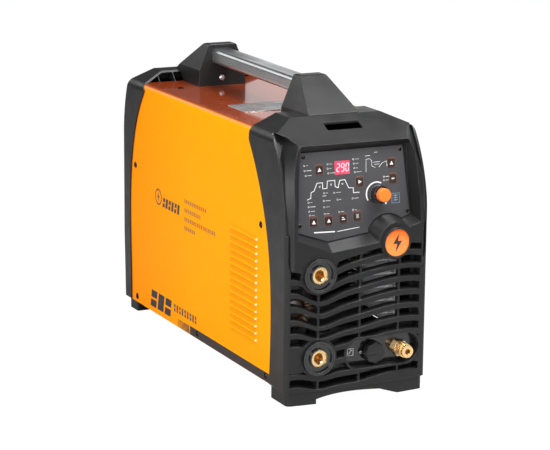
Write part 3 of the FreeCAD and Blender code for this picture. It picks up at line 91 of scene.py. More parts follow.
class Graph:
    """Small helper for building a material's node tree."""

    def __init__(self, name):
        self.mat = bpy.data.materials.new(name)
        self.mat.use_nodes = True
        self.tree = self.mat.node_tree
        self.tree.nodes.clear()
        self.out = self.tree.nodes.new("ShaderNodeOutputMaterial")
        self.bsdf = self.tree.nodes.new("ShaderNodeBsdfPrincipled")
        self.link(self.bsdf.outputs[0], self.out.inputs[0])
        self.coords = self.tree.nodes.new("ShaderNodeTexCoord").outputs["Object"]

    def link(self, a, b):
        self.tree.links.new(a, b)

    def node(self, kind, **inputs):
        n = self.tree.nodes.new(kind)
        for key, value in inputs.items():
            socket = n.inputs[key.replace("_", " ")]
            if isinstance(value, bpy.types.NodeSocket):
                self.link(value, socket)
            else:
                socket.default_value = value
        return n

    def stretched(self, scale):
        n = self.tree.nodes.new("ShaderNodeMapping")
        n.inputs["Scale"].default_value = scale
        self.link(self.coords, n.inputs["Vector"])
        return n.outputs[0]

    def noise(self, scale, detail=3.0, rough=0.55, vector=None):
        n = self.node("ShaderNodeTexNoise", Scale=scale, Detail=detail, Roughness=rough)
        self.link(vector or self.coords, n.inputs["Vector"])
        return n.outputs["Fac"]

    def voronoi(self, scale):
        n = self.node("ShaderNodeTexVoronoi", Scale=scale)
        self.link(self.coords, n.inputs["Vector"])
        return n.outputs["Distance"]

    def span(self, value, low, high, a, b):
        n = self.tree.nodes.new("ShaderNodeMapRange")
        n.inputs["From Min"].default_value = low
        n.inputs["From Max"].default_value = high
        for key, v in (("To Min", a), ("To Max", b)):
            n.inputs[key].default_value = v
        self.link(value, n.inputs["Value"])
        return n.outputs[0]

    def math(self, op, a, b=0.0):
        n = self.tree.nodes.new("ShaderNodeMath")
        n.operation = op
        for k, v in enumerate((a, b)):
            if isinstance(v, bpy.types.NodeSocket):
                self.link(v, n.inputs[k])
            else:
                n.inputs[k].default_value = v
        return n.outputs[0]

    def mix(self, factor, a, b):
        n = self.tree.nodes.new("ShaderNodeMix")
        n.data_type = "RGBA"
        factor_in, a_in, b_in, colour_out = 0, 6, 7, 2    # the RGBA sockets of the Mix node
        for key, v in ((factor_in, factor), (a_in, a), (b_in, b)):
            if isinstance(v, bpy.types.NodeSocket):
                self.link(v, n.inputs[key])
            elif key == factor_in:
                n.inputs[key].default_value = v
            else:
                n.inputs[key].default_value = (*v[:3], 1.0)
        return n.outputs[colour_out]

    def edge(self, radius):
        """A mask that is 1 on edges and 0 on flats, and the rounded normal."""
        bevel = self.tree.nodes.new("ShaderNodeBevel")
        bevel.samples = 4
        bevel.inputs["Radius"].default_value = radius
        geo = self.tree.nodes.new("ShaderNodeNewGeometry")
        dot = self.tree.nodes.new("ShaderNodeVectorMath")
        dot.operation = "DOT_PRODUCT"
        self.link(bevel.outputs[0], dot.inputs[0])
        self.link(geo.outputs["Normal"], dot.inputs[1])
        return self.span(dot.outputs["Value"], 0.995, 0.85, 0.0, 1.0), bevel.outputs[0]

    def bump(self, height, strength, distance, normal=None):
        n = self.node("ShaderNodeBump", Strength=strength, Distance=distance, Height=height)
        if normal is not None:
            self.link(normal, n.inputs["Normal"])
        return n.outputs[0]

    def set(self, **inputs):
        for key, value in inputs.items():
            socket = self.bsdf.inputs[key.replace("_", " ")]
            if isinstance(value, bpy.types.NodeSocket):
                self.link(value, socket)
            elif key in ("Base_Color", "Emission_Color"):
                socket.default_value = (*value[:3], 1.0)
            else:
                socket.default_value = value


def tone(colour, k):
    return tuple(min(1.0, c * k) for c in colour[:3])


def moulded(name, colour, rough, grain=2600.0, depth=0.00006, edge_highlight_tone=1.5, radius=0.0006,
            coat=0.0, shine=0.4):
    """Moulded plastic: spark-eroded grain, faint flow marks, slightly polished edges lightened as
    a painted highlight.
    """
    g = Graph(name)
    flow = g.noise(9.0, 4.0)
    fine = g.noise(grain, 2.0)
    edge, normal = g.edge(radius)
    base = g.mix(g.span(flow, 0.3, 0.7, 0.0, 1.0), tone(colour, 0.9), tone(colour, 1.12))
    # painted highlight: edges are lightened in the base colour by the edge tone
    edge_lit = g.mix(g.math("MULTIPLY", edge, 0.55), base, tone(colour, edge_highlight_tone))
    smudge = g.span(g.noise(38.0, 5.0), 0.35, 0.75, rough - 0.05, rough + 0.08)
    roughness = g.math("SUBTRACT", smudge, g.math("MULTIPLY", edge, 0.06))
    height = g.math("ADD", fine, g.math("MULTIPLY", g.voronoi(grain * 0.45), 0.5))
    g.set(Base_Color=edge_lit, Roughness=roughness, Normal=g.bump(height, 0.35, depth, normal),
          Coat_Weight=coat, Specular_IOR_Level=shine)
    return g.mat


def painted(name, colour, rough, coat, peel):
    """Powder coat: orange peel, soft tone drift, fine specks."""
    g = Graph(name)
    drift = g.noise(5.0, 3.0)
    base = g.mix(g.span(drift, 0.3, 0.7, 0.0, 1.0), tone(colour, 0.85), colour)
    speck = g.span(g.noise(1500.0, 2.0), 0.72, 0.8, 0.0, 0.25)
    base = g.mix(speck, base, tone(colour, 1.25))
    edge, normal = g.edge(0.0006)
    # painted highlight: edges are lightened in the base colour
    base = g.mix(g.math("MULTIPLY", edge, 0.25), base, tone(colour, 1.2))
    roughness = g.span(g.noise(60.0, 4.0), 0.3, 0.75, rough - 0.06, rough + 0.08)
    g.set(Base_Color=base, Roughness=roughness, Coat_Weight=coat, Coat_Roughness=0.06,
          Normal=g.bump(g.noise(420.0, 2.0), 0.25, peel, normal))
    return g.mat


def cover_paint(name, side, top, inside, louvre_end_highlight, crevice_shade):
    """Powder coat on the outside of the cover, glossy on top and on the louvre ends.

    The top is painted darker and the side redder towards the rear, both as painted shade;
    crevices are painted dark as painted shade; the louvre ends and the edges are painted pale
    as painted highlights. Faces inside the cover, found by their distance from the bends, are
    painted dark as painted shade.
    """
    g = Graph(name)
    geo = g.tree.nodes.new("ShaderNodeNewGeometry")
    normal_xyz = g.node("ShaderNodeSeparateXYZ", Vector=geo.outputs["Normal"])
    place_xyz = g.node("ShaderNodeSeparateXYZ", Vector=g.coords)
    upward = g.span(normal_xyz.outputs[2], 0.3, 0.95, 0.0, 1.0)
    high = g.math("GREATER_THAN", place_xyz.outputs[2], COVER_TOP_ABOVE)
    upward = g.math("MULTIPLY", upward, high)
    forward = g.span(normal_xyz.outputs[1], -0.15, -0.42, 0.0, 1.0)
    gloss = g.math("MAXIMUM", upward, forward)
    drift = g.span(g.noise(4.0, 3.0), 0.3, 0.7, 0.0, 1.0)
    rear_shade = g.span(place_xyz.outputs[1], 0.02, 0.25, 0.0, 1.0)
    base = g.mix(drift, tone(side, 0.97), side)
    # painted shade: the side's green is lowered towards the rear, making it redder there
    base = g.mix(g.math("MULTIPLY", rear_shade, 0.8), base, (side[0], side[1] * 0.75, side[2]))
    # painted shade: upward faces high on the cover take the darker top colour
    base = g.mix(upward, base, top)
    # painted highlight: forward faces at the louvre ends take a pale colour
    base = g.mix(g.math("MULTIPLY", forward, 0.7), base, louvre_end_highlight)
    # painted shade: ambient occlusion darkens the paint in crevices, such as the gaps under the
    # louvres
    open_air = g.node("ShaderNodeAmbientOcclusion", Distance=0.007)
    base = g.mix(g.span(open_air.outputs["AO"], 0.5, 0.97, 0.0, 1.0), crevice_shade, base)
    edge, normal = g.edge(0.0008)
    # painted highlight: edges are lightened in the base colour
    base = g.mix(g.math("MULTIPLY", edge, 0.2), base, tone(side, 1.25))
    # painted shade: faces inside the cover, found by their distance from the bend centres, are
    # painted dark
    from_middle = g.math("ABSOLUTE", place_xyz.outputs[0])
    across = g.math("MAXIMUM", g.math("SUBTRACT", from_middle, BEND_CENTRE[0]), 0.0)
    above = g.math("MAXIMUM", g.math("SUBTRACT", place_xyz.outputs[2], BEND_CENTRE[1]), 0.0)
    square = g.math("ADD", g.math("POWER", across, 2.0), g.math("POWER", above, 2.0))
    corner = g.math("SQRT", square)
    base = g.mix(g.math("GREATER_THAN", corner, BEND_SKIN_RADIUS), inside, base)
    peel = g.noise(420.0, 2.0)
    g.set(Base_Color=base, Roughness=g.span(g.noise(30.0, 3.0), 0.3, 0.75, 0.36, 0.42),
          Specular_IOR_Level=g.span(gloss, 0.0, 1.0, 0.02, 0.12), Coat_Weight=gloss,
          Coat_Roughness=g.span(g.noise(50.0, 3.0), 0.3, 0.7, 0.05, 0.08),
          Normal=g.bump(peel, 0.1, 0.000012, normal))
    return g.mat


def badge_paint(name, upper, lower):
    """Clear-domed disc with a soft vertical fade from darker orange at the top to lighter orange
    at the bottom.
    """
    g = Graph(name)
    xyz = g.node("ShaderNodeSeparateXYZ", Vector=g.coords)
    fade = g.span(xyz.outputs[2], BADGE_BOTTOM_Z, BADGE_TOP_Z, 0.0, 1.0)
    fade = g.math("ADD", fade, g.span(g.noise(160.0, 2.0), 0.3, 0.7, -0.04, 0.04))
    edge, normal = g.edge(0.0005)
    # painted highlight: edges are lightened in the base colour
    base = g.mix(g.math("MULTIPLY", edge, 0.3), g.mix(fade, lower, upper), tone(upper, 1.3))
    g.set(Base_Color=base, Roughness=g.span(g.noise(90.0, 3.0), 0.3, 0.7, 0.22, 0.3),
          Coat_Weight=0.8, Coat_Roughness=0.05,
          Normal=g.bump(g.noise(900.0, 2.0), 0.1, 0.00002, normal))
    return g.mat


def metal(name, colour, rough, stretch=(60, 60, 60), tarnish=0.12, aniso=0.0, metallic=1.0):
    """Bare or plated metal with machining lines and a little tarnish."""
    g = Graph(name)
    lines = g.noise(14.0, 4.0, 0.65, g.stretched(stretch))
    patches = g.noise(55.0, 5.0)
    edge, normal = g.edge(0.0004)
    base = g.mix(g.span(patches, 0.35, 0.75, 0.0, tarnish), colour, tone(colour, 0.45))
    # painted highlight: edges are lightened in the base colour
    base = g.mix(g.math("MULTIPLY", edge, 0.5), base, tone(colour, 1.25))
    base = g.mix(g.span(lines, 0.3, 0.7, 0.0, 0.25), base, tone(colour, 0.75))
    roughness = g.span(lines, 0.25, 0.75, rough - 0.08, rough + 0.12)
    g.set(Base_Color=base, Metallic=metallic, Roughness=roughness, Anisotropic=aniso,
          Normal=g.bump(lines, 0.18, 0.00003, normal))
    return g.mat


def board_green():
    """Solder mask over faint copper tracks."""
    g = Graph("solder_mask")
    tracks = g.tree.nodes.new("ShaderNodeTexBrick")
    tracks.inputs["Scale"].default_value = 120.0
    tracks.inputs["Mortar Size"].default_value = 0.03
    g.link(g.coords, tracks.inputs["Vector"])
    base = g.mix(tracks.outputs["Fac"], (0.012, 0.11, 0.035), (0.03, 0.2, 0.06))
    g.set(Base_Color=base, Roughness=g.span(g.noise(300.0), 0.3, 0.7, 0.25, 0.45),
          Coat_Weight=0.3, Normal=g.bump(tracks.outputs["Fac"], 0.4, 0.00005))
    return g.mat


def print_ink(name, colour, rough=0.5, glow=0.0):
    """Screen-printed ink with slight mottling."""
    g = Graph(name)
    mottle = g.span(g.noise(900.0, 3.0), 0.35, 0.7, 0.0, 1.0)
    base = g.mix(mottle, tone(colour, 0.82), colour)
    g.set(Base_Color=base, Roughness=g.span(g.noise(400.0), 0.3, 0.7, rough - 0.08, rough + 0.08),
          Normal=g.bump(g.noise(2500.0), 0.2, 0.00002))
    # on the white ink the glow is a painted glow; on the display digits it is the lit segments
    if glow:
        g.set(Emission_Color=base, Emission_Strength=glow)
    return g.mat


def display_red():
    """Red filter window lit from behind."""
    g = Graph("display_window_lit")
    fade = g.span(g.noise(120.0, 2.0), 0.3, 0.7, 0.85, 1.1)
    base = g.mix(g.span(g.noise(60.0), 0.3, 0.7, 0.0, 1.0), (0.62, 0.03, 0.07), (0.75, 0.05, 0.1))
    g.set(Base_Color=base, Roughness=0.22, Coat_Weight=0.5, Emission_Color=(0.95, 0.1, 0.17),
          Emission_Strength=g.math("MULTIPLY", fade, 0.4),
          Normal=g.bump(g.noise(1800.0), 0.1, 0.00002))
    return g.mat


# each plastic's edge tone sets the painted highlight on its edges
PLASTICS = {
    "bezel": moulded("bezel_plastic", (0.012, 0.012, 0.0125), 0.36, edge_highlight_tone=5.0, radius=0.0012,
                     shine=0.3),
    "black_plastic": moulded("black_plastic", (0.007, 0.007, 0.008), 0.16, edge_highlight_tone=5.0,
                             coat=0.5, shine=0.5),
    "switch_plastic": moulded("switch_plastic", (0.02, 0.02, 0.02), 0.22, edge_highlight_tone=2.0, coat=0.3),
    "cable_rubber": moulded("cable_rubber", (0.02, 0.02, 0.02), 0.6, 1400.0, 0.0001),
    "hose": moulded("gas_hose_rubber", (0.015, 0.03, 0.13), 0.4, 900.0),
    "overlay": moulded("overlay_film", (0.055, 0.055, 0.058), 0.36, 3200.0, 0.00003,
                       edge_highlight_tone=1.6, radius=0.0003, coat=0.1),
    "knob_orange": moulded("knob_orange", (0.9, 0.17, 0.02), 0.34, 2000.0, edge_highlight_tone=1.3,
                           coat=0.15),
    "black_rubber": moulded("black_rubber", (0.016, 0.016, 0.016), 0.62, 1600.0, 0.0001,
                            edge_highlight_tone=2.2),
    "capacitor_sleeve": moulded("capacitor_sleeve", (0.02, 0.03, 0.08), 0.3, coat=0.3),
    "ferrite": moulded("ferrite", (0.05, 0.05, 0.052), 0.6, 700.0, 0.0002),
    "winding_tape": moulded("winding_tape", (0.75, 0.45, 0.06), 0.35, 300.0, 0.0001, coat=0.3),
    "button_rubber": moulded("button_keys", (0.035, 0.022, 0.018), 0.3, edge_highlight_tone=2.0,
                             radius=0.0004),
}
METALS = {
    "dark_screw": metal("blackened_steel", (0.045, 0.035, 0.03), 0.2),
    "label_aluminium": metal("label_foil", (0.72, 0.73, 0.75), 0.3, (4, 260, 260), 0.05, 0.5),
    "bright_steel": metal("bright_steel", (0.5, 0.5, 0.5), 0.25, (200, 200, 30)),
    "zinc": metal("zinc_plate", (0.58, 0.6, 0.6), 0.35, (40, 40, 40), 0.3),
    "brass": metal("machined_brass", (0.93, 0.64, 0.3), 0.22, (25, 260, 25), 0.2, metallic=0.85),
    "handle_aluminium": metal("handle_aluminium", (0.62, 0.63, 0.64), 0.3, (260, 3, 260), 0.05,
                              0.5),
    "heat_sink_aluminium": metal("heat_sink_aluminium", (0.95, 0.95, 0.96), 0.45, (200, 3, 200),
                                 0.05, metallic=0.25),
    "copper": metal("enamelled_copper", (0.5, 0.3, 0.18), 0.28, (120, 120, 120), 0.15),
}
PAINTS = {
    # the cover's top, inside and crevice colours are painted shade, its louvre-end colour a
    # painted highlight
    "cover_paint": cover_paint("cover_orange", side=(0.95, 0.335, 0.001), top=(0.2, 0.029, 0.004),
                               inside=(0.03, 0.03, 0.03), louvre_end_highlight=(1.0, 0.8, 0.5),
                               crevice_shade=(0.3, 0.05, 0.003)),
    "dark_paint": painted("black_powder", (0.03, 0.03, 0.032), 0.45, 0.1, 0.00006),
    "badge_orange": badge_paint("badge_orange", (0.86, 0.13, 0.012), (0.95, 0.3, 0.03)),
    "circuit_board": board_green(),
    "display": display_red(),
}
INKS = {
    # the white ink is given a faint painted glow
    "white_ink": print_ink("white_ink", (0.78, 0.78, 0.78), 0.45, 0.1),
    "rust_ink": print_ink("key_outline_ink", (0.3, 0.1, 0.06)),
    "blue_ink": print_ink("blue_grey_ink", (0.2, 0.3, 0.38)),
    "black_ink": print_ink("black_ink", (0.02, 0.02, 0.022)),
    "side_dark": print_ink("side_dark_ink", (0.022, 0.014, 0.016)),
    "side_faint": print_ink("side_faint_ink", (0.32, 0.07, 0.01)),
    "digits": print_ink("display_digits", (1.0, 0.55, 0.6), 0.4, 0.7),
}
MATS = {**PLASTICS, **METALS, **PAINTS, **INKS}

SLOT_OF = {row["node"]: row["material_slot"] for row in frame["record"]["subparts"]}
for node, obj in NODES.items():
    obj.data.materials.clear()
    obj.data.materials.append(MATS[SLOT_OF[node]])


# ---------------------------------------------------------------- mesh helpers

def on_panel(x, z, w=0.0):
    """Point of the tilted control panel, in metres: x and z along it, w out of it."""
    y, dz = -w, z - PANEL_PIVOT[1]
    c, s = math.cos(PANEL_TILT), math.sin(PANEL_TILT)
    return Vector((x * MM, (PANEL_PIVOT[0] + y * c - dz * s) * MM,
                   (PANEL_PIVOT[1] + y * s + dz * c) * MM))


def flat_front(y):
    return lambda a, b, w=0.0: Vector((a * MM, (y - w) * MM, b * MM))


def flat_left(x):
    return lambda a, b, w=0.0: Vector(((x - w) * MM, a * MM, b * MM))


def flat_right(x):
    return lambda a, b, w=0.0: Vector(((x + w) * MM, a * MM, b * MM))


def flat_top(z):
    return lambda a, b, w=0.0: Vector((a * MM, b * MM, (z + w) * MM))


def add_prism(bm, points, place, w0, w1):
    """Closed thin solid over a polygon given in the surface's own millimetres."""
    low = [bm.verts.new(place(a, b, w0)) for a, b in points]
    high = [bm.verts.new(place(a, b, w1)) for a, b in points]
    n = len(points)
    bm.faces.new(low[::-1])
    bm.faces.new(high)
    for i in range(n):
        j = (i + 1) % n
        bm.faces.new((low[i], low[j], high[j], high[i]))


def add_stroke(bm, points, width, place, w0, w1, closed=False):
    """A drawn line as one mitred closed ribbon."""
    n = len(points)
    left, right = [], []
    for i in range(n):
        p = Vector(points[i])
        before = Vector(points[i - 1]) if (i or closed) else None
        after = Vector(points[(i + 1) % n]) if (i < n - 1 or closed) else None
        d0 = (p - before).normalized() if before is not None else (after - p).normalized()
        d1 = (after - p).normalized() if after is not None else d0
        t = d0 + d1
        t = t.normalized() if t.length > 1e-6 else d0
        side = Vector((-t.y, t.x))
        k = max(0.5, abs(side.dot(Vector((-d0.y, d0.x)))))
        offset = side * (width / 2 / k)
        left.append(p + offset)
        right.append(p - offset)
    rings = []
    for i in range(n):
        rings.append([bm.verts.new(place(q.x, q.y, w)) for q, w in
                      ((left[i], w0), (left[i], w1), (right[i], w1), (right[i], w0))])
    last = n if closed else n - 1
    for i in range(last):
        a, b = rings[i], rings[(i + 1) % n]
        for k in range(4):
            bm.faces.new((a[k], a[(k + 1) % 4], b[(k + 1) % 4], b[k]))
    if not closed:
        bm.faces.new(rings[0][::-1])
        bm.faces.new(rings[-1])


def circle(cx, cy, r, n, start=0.0, end=360.0):
    """Points of a circle, or of an arc with both of its ends."""
    steps = n if end - start >= 360 else n + 1
    angles = [math.radians(start + (end - start) * k / n) for k in range(steps)]
    return [(cx + r * math.cos(t), cy + r * math.sin(t)) for t in angles]


def rect(x0, y0, x1, y1):
    return [(x0, y0), (x1, y0), (x1, y1), (x0, y1)]


def linked_object(name, data):
    obj = bpy.data.objects.new(name, data)
    bpy.context.scene.collection.objects.link(obj)
    return obj


def mesh_object(bm, name, material):
    bmesh.ops.recalc_face_normals(bm, faces=bm.faces)
    mesh = bpy.data.meshes.new(name)
    bm.to_mesh(mesh)
    bm.free()
    mesh.materials.append(material)
    return linked_object(name, mesh)


def add_mark(bm, name, ink, body=CHASSIS):
    """Printed marks as one piece that rides on a body."""
    obj = mesh_object(bm, name, MATS[ink])
    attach(obj, body)


# ---------------------------------------------------------------- control panel print

KEYS = {"mode": (-51.1, 323.8), "select": (10.5, 302.6), "pulse": (60.5, 324.8),
        "memory": (62.4, 303.0), "trigger": (-62.1, 252.9), "process": (-39.1, 253.1),
        "gas_test": (-16.7, 254.2), "remote": (5.0, 255.3)}
LAMPS = [(-73.7, 330.9), (-73.2, 324.0), (-71.7, 317.1), (-38.1, 330.3), (-38.0, 324.3),
         (-37.4, 318.0), (1.5, 334.1), (2.2, 328.2), (2.8, 321.9), (3.3, 316.3), (48.5, 306.4),
         (48.4, 301.4), (-68.8, 280.3), (-68.8, 274.2), (-68.4, 268.0), (-67.7, 262.6),
         (-44.6, 291.2), (-45.6, 280.6), (-45.6, 272.1), (-44.7, 262.8), (-24.4, 280.7),
         (-29.2, 290.6), (-1.1, 280.5), (-22.4, 263.6), (-1.0, 264.6), (-33.6, 302.3),
         (-51.0, 300.5), (-16.2, 302.0)]
CAPTIONED_LAMPS = 25
WELD_CYCLE = [(-71.0, 284.0), (-65.2, 286.1), (-64.6, 293.6), (-59.8, 295.5), (-55.2, 305.8),
              (-46.6, 305.8), (-46.6, 297.4), (-40.1, 297.7), (-39.2, 307.5), (-27.8, 307.6),
              (-27.5, 298.9), (-23.0, 297.0), (-20.4, 306.7), (-12.3, 307.3), (-6.7, 295.6),
              (0.2, 295.0), (0.5, 288.1), (9.5, 288.1)]
KNOB_CENTRE = (36.4, 283.9)


def panel_white():
    bm = bmesh.new()

    def line(points, width, closed=False):
        add_stroke(bm, points, width, on_panel, *PANEL_INK, closed=closed)

    line(WELD_CYCLE, 0.85)
    # pulse diagram at the top right
    line([(20.8, 314.9), (21.4, 332.5), (26.6, 332.9), (30.0, 330.3), (30.1, 322.6),
          (35.7, 320.0)], 0.5)
    line([(41.0, 320.2), (46.5, 325.9), (53.5, 327.7), (53.7, 320.7)], 0.5)
    line([(32.0, 327.5), (43.0, 328.0)], 0.5)
    line([(34.0, 324.4), (42.0, 324.6)], 0.5)
    line([(20.0, 337.0), (28.0, 337.4)], 0.6)
    line([(34.0, 341.0), (39.0, 341.2)], 0.6)
    # arc round the knob, and a small wedge below it
    line(circle(*KNOB_CENTRE, 16.0, 26, 62.0, 212.0), 1.9)
    add_prism(bm, [(48.6, 270.4), (52.6, 270.7), (50.4, 267.4)], on_panel, *PANEL_INK)
    # a ring for each lamp, most with a dash beside it in place of a caption
    for x, z in LAMPS:
        line(circle(x, z, 1.05, 12), 0.36, True)
    for k, (x, z) in enumerate(LAMPS[:CAPTIONED_LAMPS]):
        length = 3.0 + 1.6 * ((k * 7) % 4)
        line([(x + 2.6, z), (x + 2.6 + length, z)], 0.5 if k % 3 else 0.38)
    line([(-47.5, 287.6), (-41.5, 287.6)], 0.5)
    # two plain bars where the maker's line would be
    line([(-62.0, 238.6), (-30.0, 237.2)], 1.6)
    line([(-26.0, 237.0), (8.0, 240.0)], 0.8)
    add_mark(bm, "panel_print_white", "white_ink")


def panel_key_frames():
    """An outline round each key and a short caption bar above it."""
    bm = bmesh.new()
    half = 6.1
    for x, z in KEYS.values():
        add_stroke(bm, rect(x - half, z - half, x + half, z + half), 0.35, on_panel, *PANEL_INK,
                   closed=True)
        add_stroke(bm, [(x - 4.6, z + 7.6), (x + 4.6, z + 7.6)], 0.5, on_panel, *PANEL_INK)
    add_mark(bm, "panel_key_frames", "rust_ink")


def panel_icon_box():
    bm = bmesh.new()
    add_stroke(bm, rect(60.0, 268.7, 72.0, 282.0), 0.6, on_panel, *PANEL_INK, closed=True)
    for k in range(3):
        z = 272.6 + 3.2 * k
        add_stroke(bm, [(63.0, z), (69.2, z + 0.2)], 1.1, on_panel, *PANEL_INK)
    add_stroke(bm, [(66.0, 271.4), (66.0, 280.4)], 0.8, on_panel, *PANEL_INK)
    add_mark(bm, "panel_icon", "blue_ink")


def key_legends():
    """White mark on each key: an arrow head, a wave or a few strokes."""
    for name, (x, z) in KEYS.items():
        bm = bmesh.new()

        def stroke(points, width):
            add_stroke(bm, [(x + a, z + b) for a, b in points], width, on_panel, *KEY_INK)

        def arrow(points):
            add_prism(bm, [(x + a, z + b) for a, b in points], on_panel, *KEY_INK)

        if name in ("mode", "pulse", "trigger", "process"):
            arrow([(-2.7, -2.4), (2.7, -2.4), (0.0, 2.8)])
        elif name == "select":
            arrow([(-2.2, -2.7), (2.9, 0.0), (-2.2, 2.7)])
        elif name == "memory":
            stroke([(-2.6, 0.8), (-1.5, -1.0), (-0.4, 0.8), (0.7, -1.0), (2.6, 0.8)], 0.7)
        elif name == "gas_test":
            stroke([(-2.4, 1.2), (0.4, 1.4)], 0.8)
            stroke([(-2.4, -1.2), (2.4, -1.0)], 0.9)
        else:
            for k in range(4):
                stroke([(-2.0, -2.2 + 1.5 * k), (2.0, -2.0 + 1.5 * k)], 0.5)
        add_mark(bm, "legend_" + name, "white_ink", "button_" + name)


GAP = 0.06
SEGMENT_LINES = {"a": (GAP, 1, 1 - GAP, 1), "b": (1, 1 - GAP, 1, 0.5 + GAP),
                 "c": (1, 0.5 - GAP, 1, GAP), "d": (GAP, 0, 1 - GAP, 0),
                 "e": (0, 0.5 - GAP, 0, GAP), "f": (0, 1 - GAP, 0, 0.5 + GAP),
                 "g": (GAP, 0.5, 1 - GAP, 0.5)}
LIT_SEGMENTS = {"2": "abged", "9": "abcdfg", "0": "abcdef"}


def digits():
    """Three leaning seven-segment digits in the display window."""
    bm = bmesh.new()
    width, height, pitch, lean, line_width = 4.1, 10.6, 6.9, 0.08, 1.05
    left, bottom = -24.2, 319.0
    for k, digit in enumerate("290"):
        x0 = left + pitch * k
        for segment in LIT_SEGMENTS[digit]:
            ax, ay, bx, by = SEGMENT_LINES[segment]
            ends = [(x0 + ax * width + lean * ay * height, bottom + ay * height),
                    (x0 + bx * width + lean * by * height, bottom + by * height)]
            add_stroke(bm, ends, line_width, on_panel, *DIGIT_INK)
    add_mark(bm, "display_digits", "digits")


# ---------------------------------------------------------------- side print, badge, plates

def bolt_points(cx, cy, size, flip=1.0):
    """Plain lightning bolt."""
    raw = [(0.15, 1.0), (-0.55, -0.1), (-0.05, -0.1), (-0.2, -1.0), (0.55, 0.2), (0.05, 0.2)]
    return [(cx + flip * a * size, cy + b * size) for a, b in raw]


def word_bars(bm, place, y_first, y_last, z0, z1, count, lean, gap):
    """A row of upright blocks in place of a word; every other one is split at mid height."""
    step = (y_last - y_first) / count
    rise = z1 - z0
    for k in range(count):
        a = y_first + step * k
        b = a + step * (1 - gap)
        spans = ((0.0, 1.0),) if k % 2 else ((0.0, 0.42), (0.56, 1.0))
        for low, high in spans:
            foot, head = z0 + rise * low, z0 + rise * high
            add_prism(bm, [(a + lean * low, foot), (b + lean * low, foot),
                           (b + lean * high, head), (a + lean * high, head)],
                      place, *COVER_INK)


def side_graphics(place, flip, tag):
    """Generic marks on one side of the cover: a bolt in a ring, bars, a stripe with hatching."""
    bm = bmesh.new()
    ring_centre = (148.0, 206.5)
    add_stroke(bm, circle(*ring_centre, 11.5, 36), 2.2, place, *COVER_INK, closed=True)
    add_prism(bm, bolt_points(*ring_centre, 8.0, flip), place, *COVER_INK)
    word_bars(bm, place, 132.0, 66.0, 194.0, 209.0, 6, flip * 3.0, 0.34)
    word_bars(bm, place, 180.0, 97.0, 27.5, 54.0, 3, flip * 5.0, 0.2)
    word_bars(bm, place, 88.0, 0.0, 40.5, 52.0, 9, 0.0, 0.5)
    # base stripe that breaks up into hatching towards the rear
    add_prism(bm, rect(-246.0, 19.4, 28.0, 32.5), place, *COVER_INK)
    low, high, lean = 19.8, 32.0, 4.0
    for k in range(9):
        y0 = 30.0 + 4.9 * k
        y1 = y0 + 3.4 * (1.0 - k / 12.0)
        add_prism(bm, [(y0, low), (y1, low), (y1 + lean, high), (y0 + lean, high)],
                  place, *COVER_INK)
    add_mark(bm, "side_mark_dark_" + tag, "side_dark")

    bm = bmesh.new()
    start = 49.0
    for k, end in enumerate((-32.0, -12.0, -64.0, 8.0)):
        z = 220.0 - 13.7 * k
        count = int((start - end) / 6.5)
        word_bars(bm, place, start, end, z - 3.0, z + 3.0, count, 0.0, 0.45)
    add_mark(bm, "side_mark_small_" + tag, "side_faint")


def badge_mark():
    """Dark bolt on the round badge, sunk into its dome."""
    bm = bmesh.new()
    add_prism(bm, bolt_points(56.4, 218.2, 12.5), flat_front(BADGE_FRONT_Y), -0.6, 0.12)
    add_mark(bm, "badge_bolt", "black_ink")


def rating_lines():
    """Blank table printed on the rating plate."""
    bm = bmesh.new()
    place = flat_top(PLATE_TOP_Z)
    x0, x1, y0, y1, head = -66.0, 66.0, -78.0, -20.0, -32.0
    add_stroke(bm, rect(x0, y0, x1, y1), 0.6, place, *PLATE_INK, closed=True)
    for y in (head, -43.0, -54.0, -66.0):
        add_stroke(bm, [(x0, y), (x1, y)], 0.4, place, *PLATE_INK)
    for x in (-40.0, -8.0, 24.0):
        add_stroke(bm, [(x, y0), (x, head)], 0.4, place, *PLATE_INK)
    for k in range(9):
        x = -60.0 + 28.0 * (k % 4)
        y = -37.5 - 11.0 * (k // 4)
        add_stroke(bm, [(x, y), (x + 14.0, y)], 1.2, place, *PLATE_INK)
    add_mark(bm, "rating_plate_table", "black_ink")


def recess_icon():
    """Small torch sign in the connector recess, and a ring round the cord's eye."""
    bm = bmesh.new()
    place = flat_front(RECESS_FLOOR_Y)
    add_stroke(bm, rect(-8.0, 58.4, 1.0, 68.0), 0.6, place, *COVER_INK, closed=True)
    add_stroke(bm, [(-6.4, 60.4), (-1.4, 66.4)], 0.9, place, *COVER_INK)
    add_stroke(bm, [(-2.8, 66.6), (-0.2, 64.6)], 0.8, place, *COVER_INK)
    add_stroke(bm, circle(12.9, 61.2, 1.5, 14), 0.9, place, *COVER_INK, closed=True)
    add_mark(bm, "recess_icon", "white_ink")


def smooth_path(points, steps):
    """Catmull-Rom curve through the points."""
    path = []
    for i in range(len(points) - 1):
        p0 = points[max(0, i - 1)]
        p1, p2 = points[i], points[i + 1]
        p3 = points[min(len(points) - 1, i + 2)]
        for k in range(steps):
            t = k / steps
            path.append(0.5 * ((2 * p1) + (p2 - p0) * t + (2 * p0 - 5 * p1 + 4 * p2 - p3) * t * t
                               + (3 * p1 - p0 - 3 * p2 + p3) * t ** 3))
    path.append(points[-1])
    return path


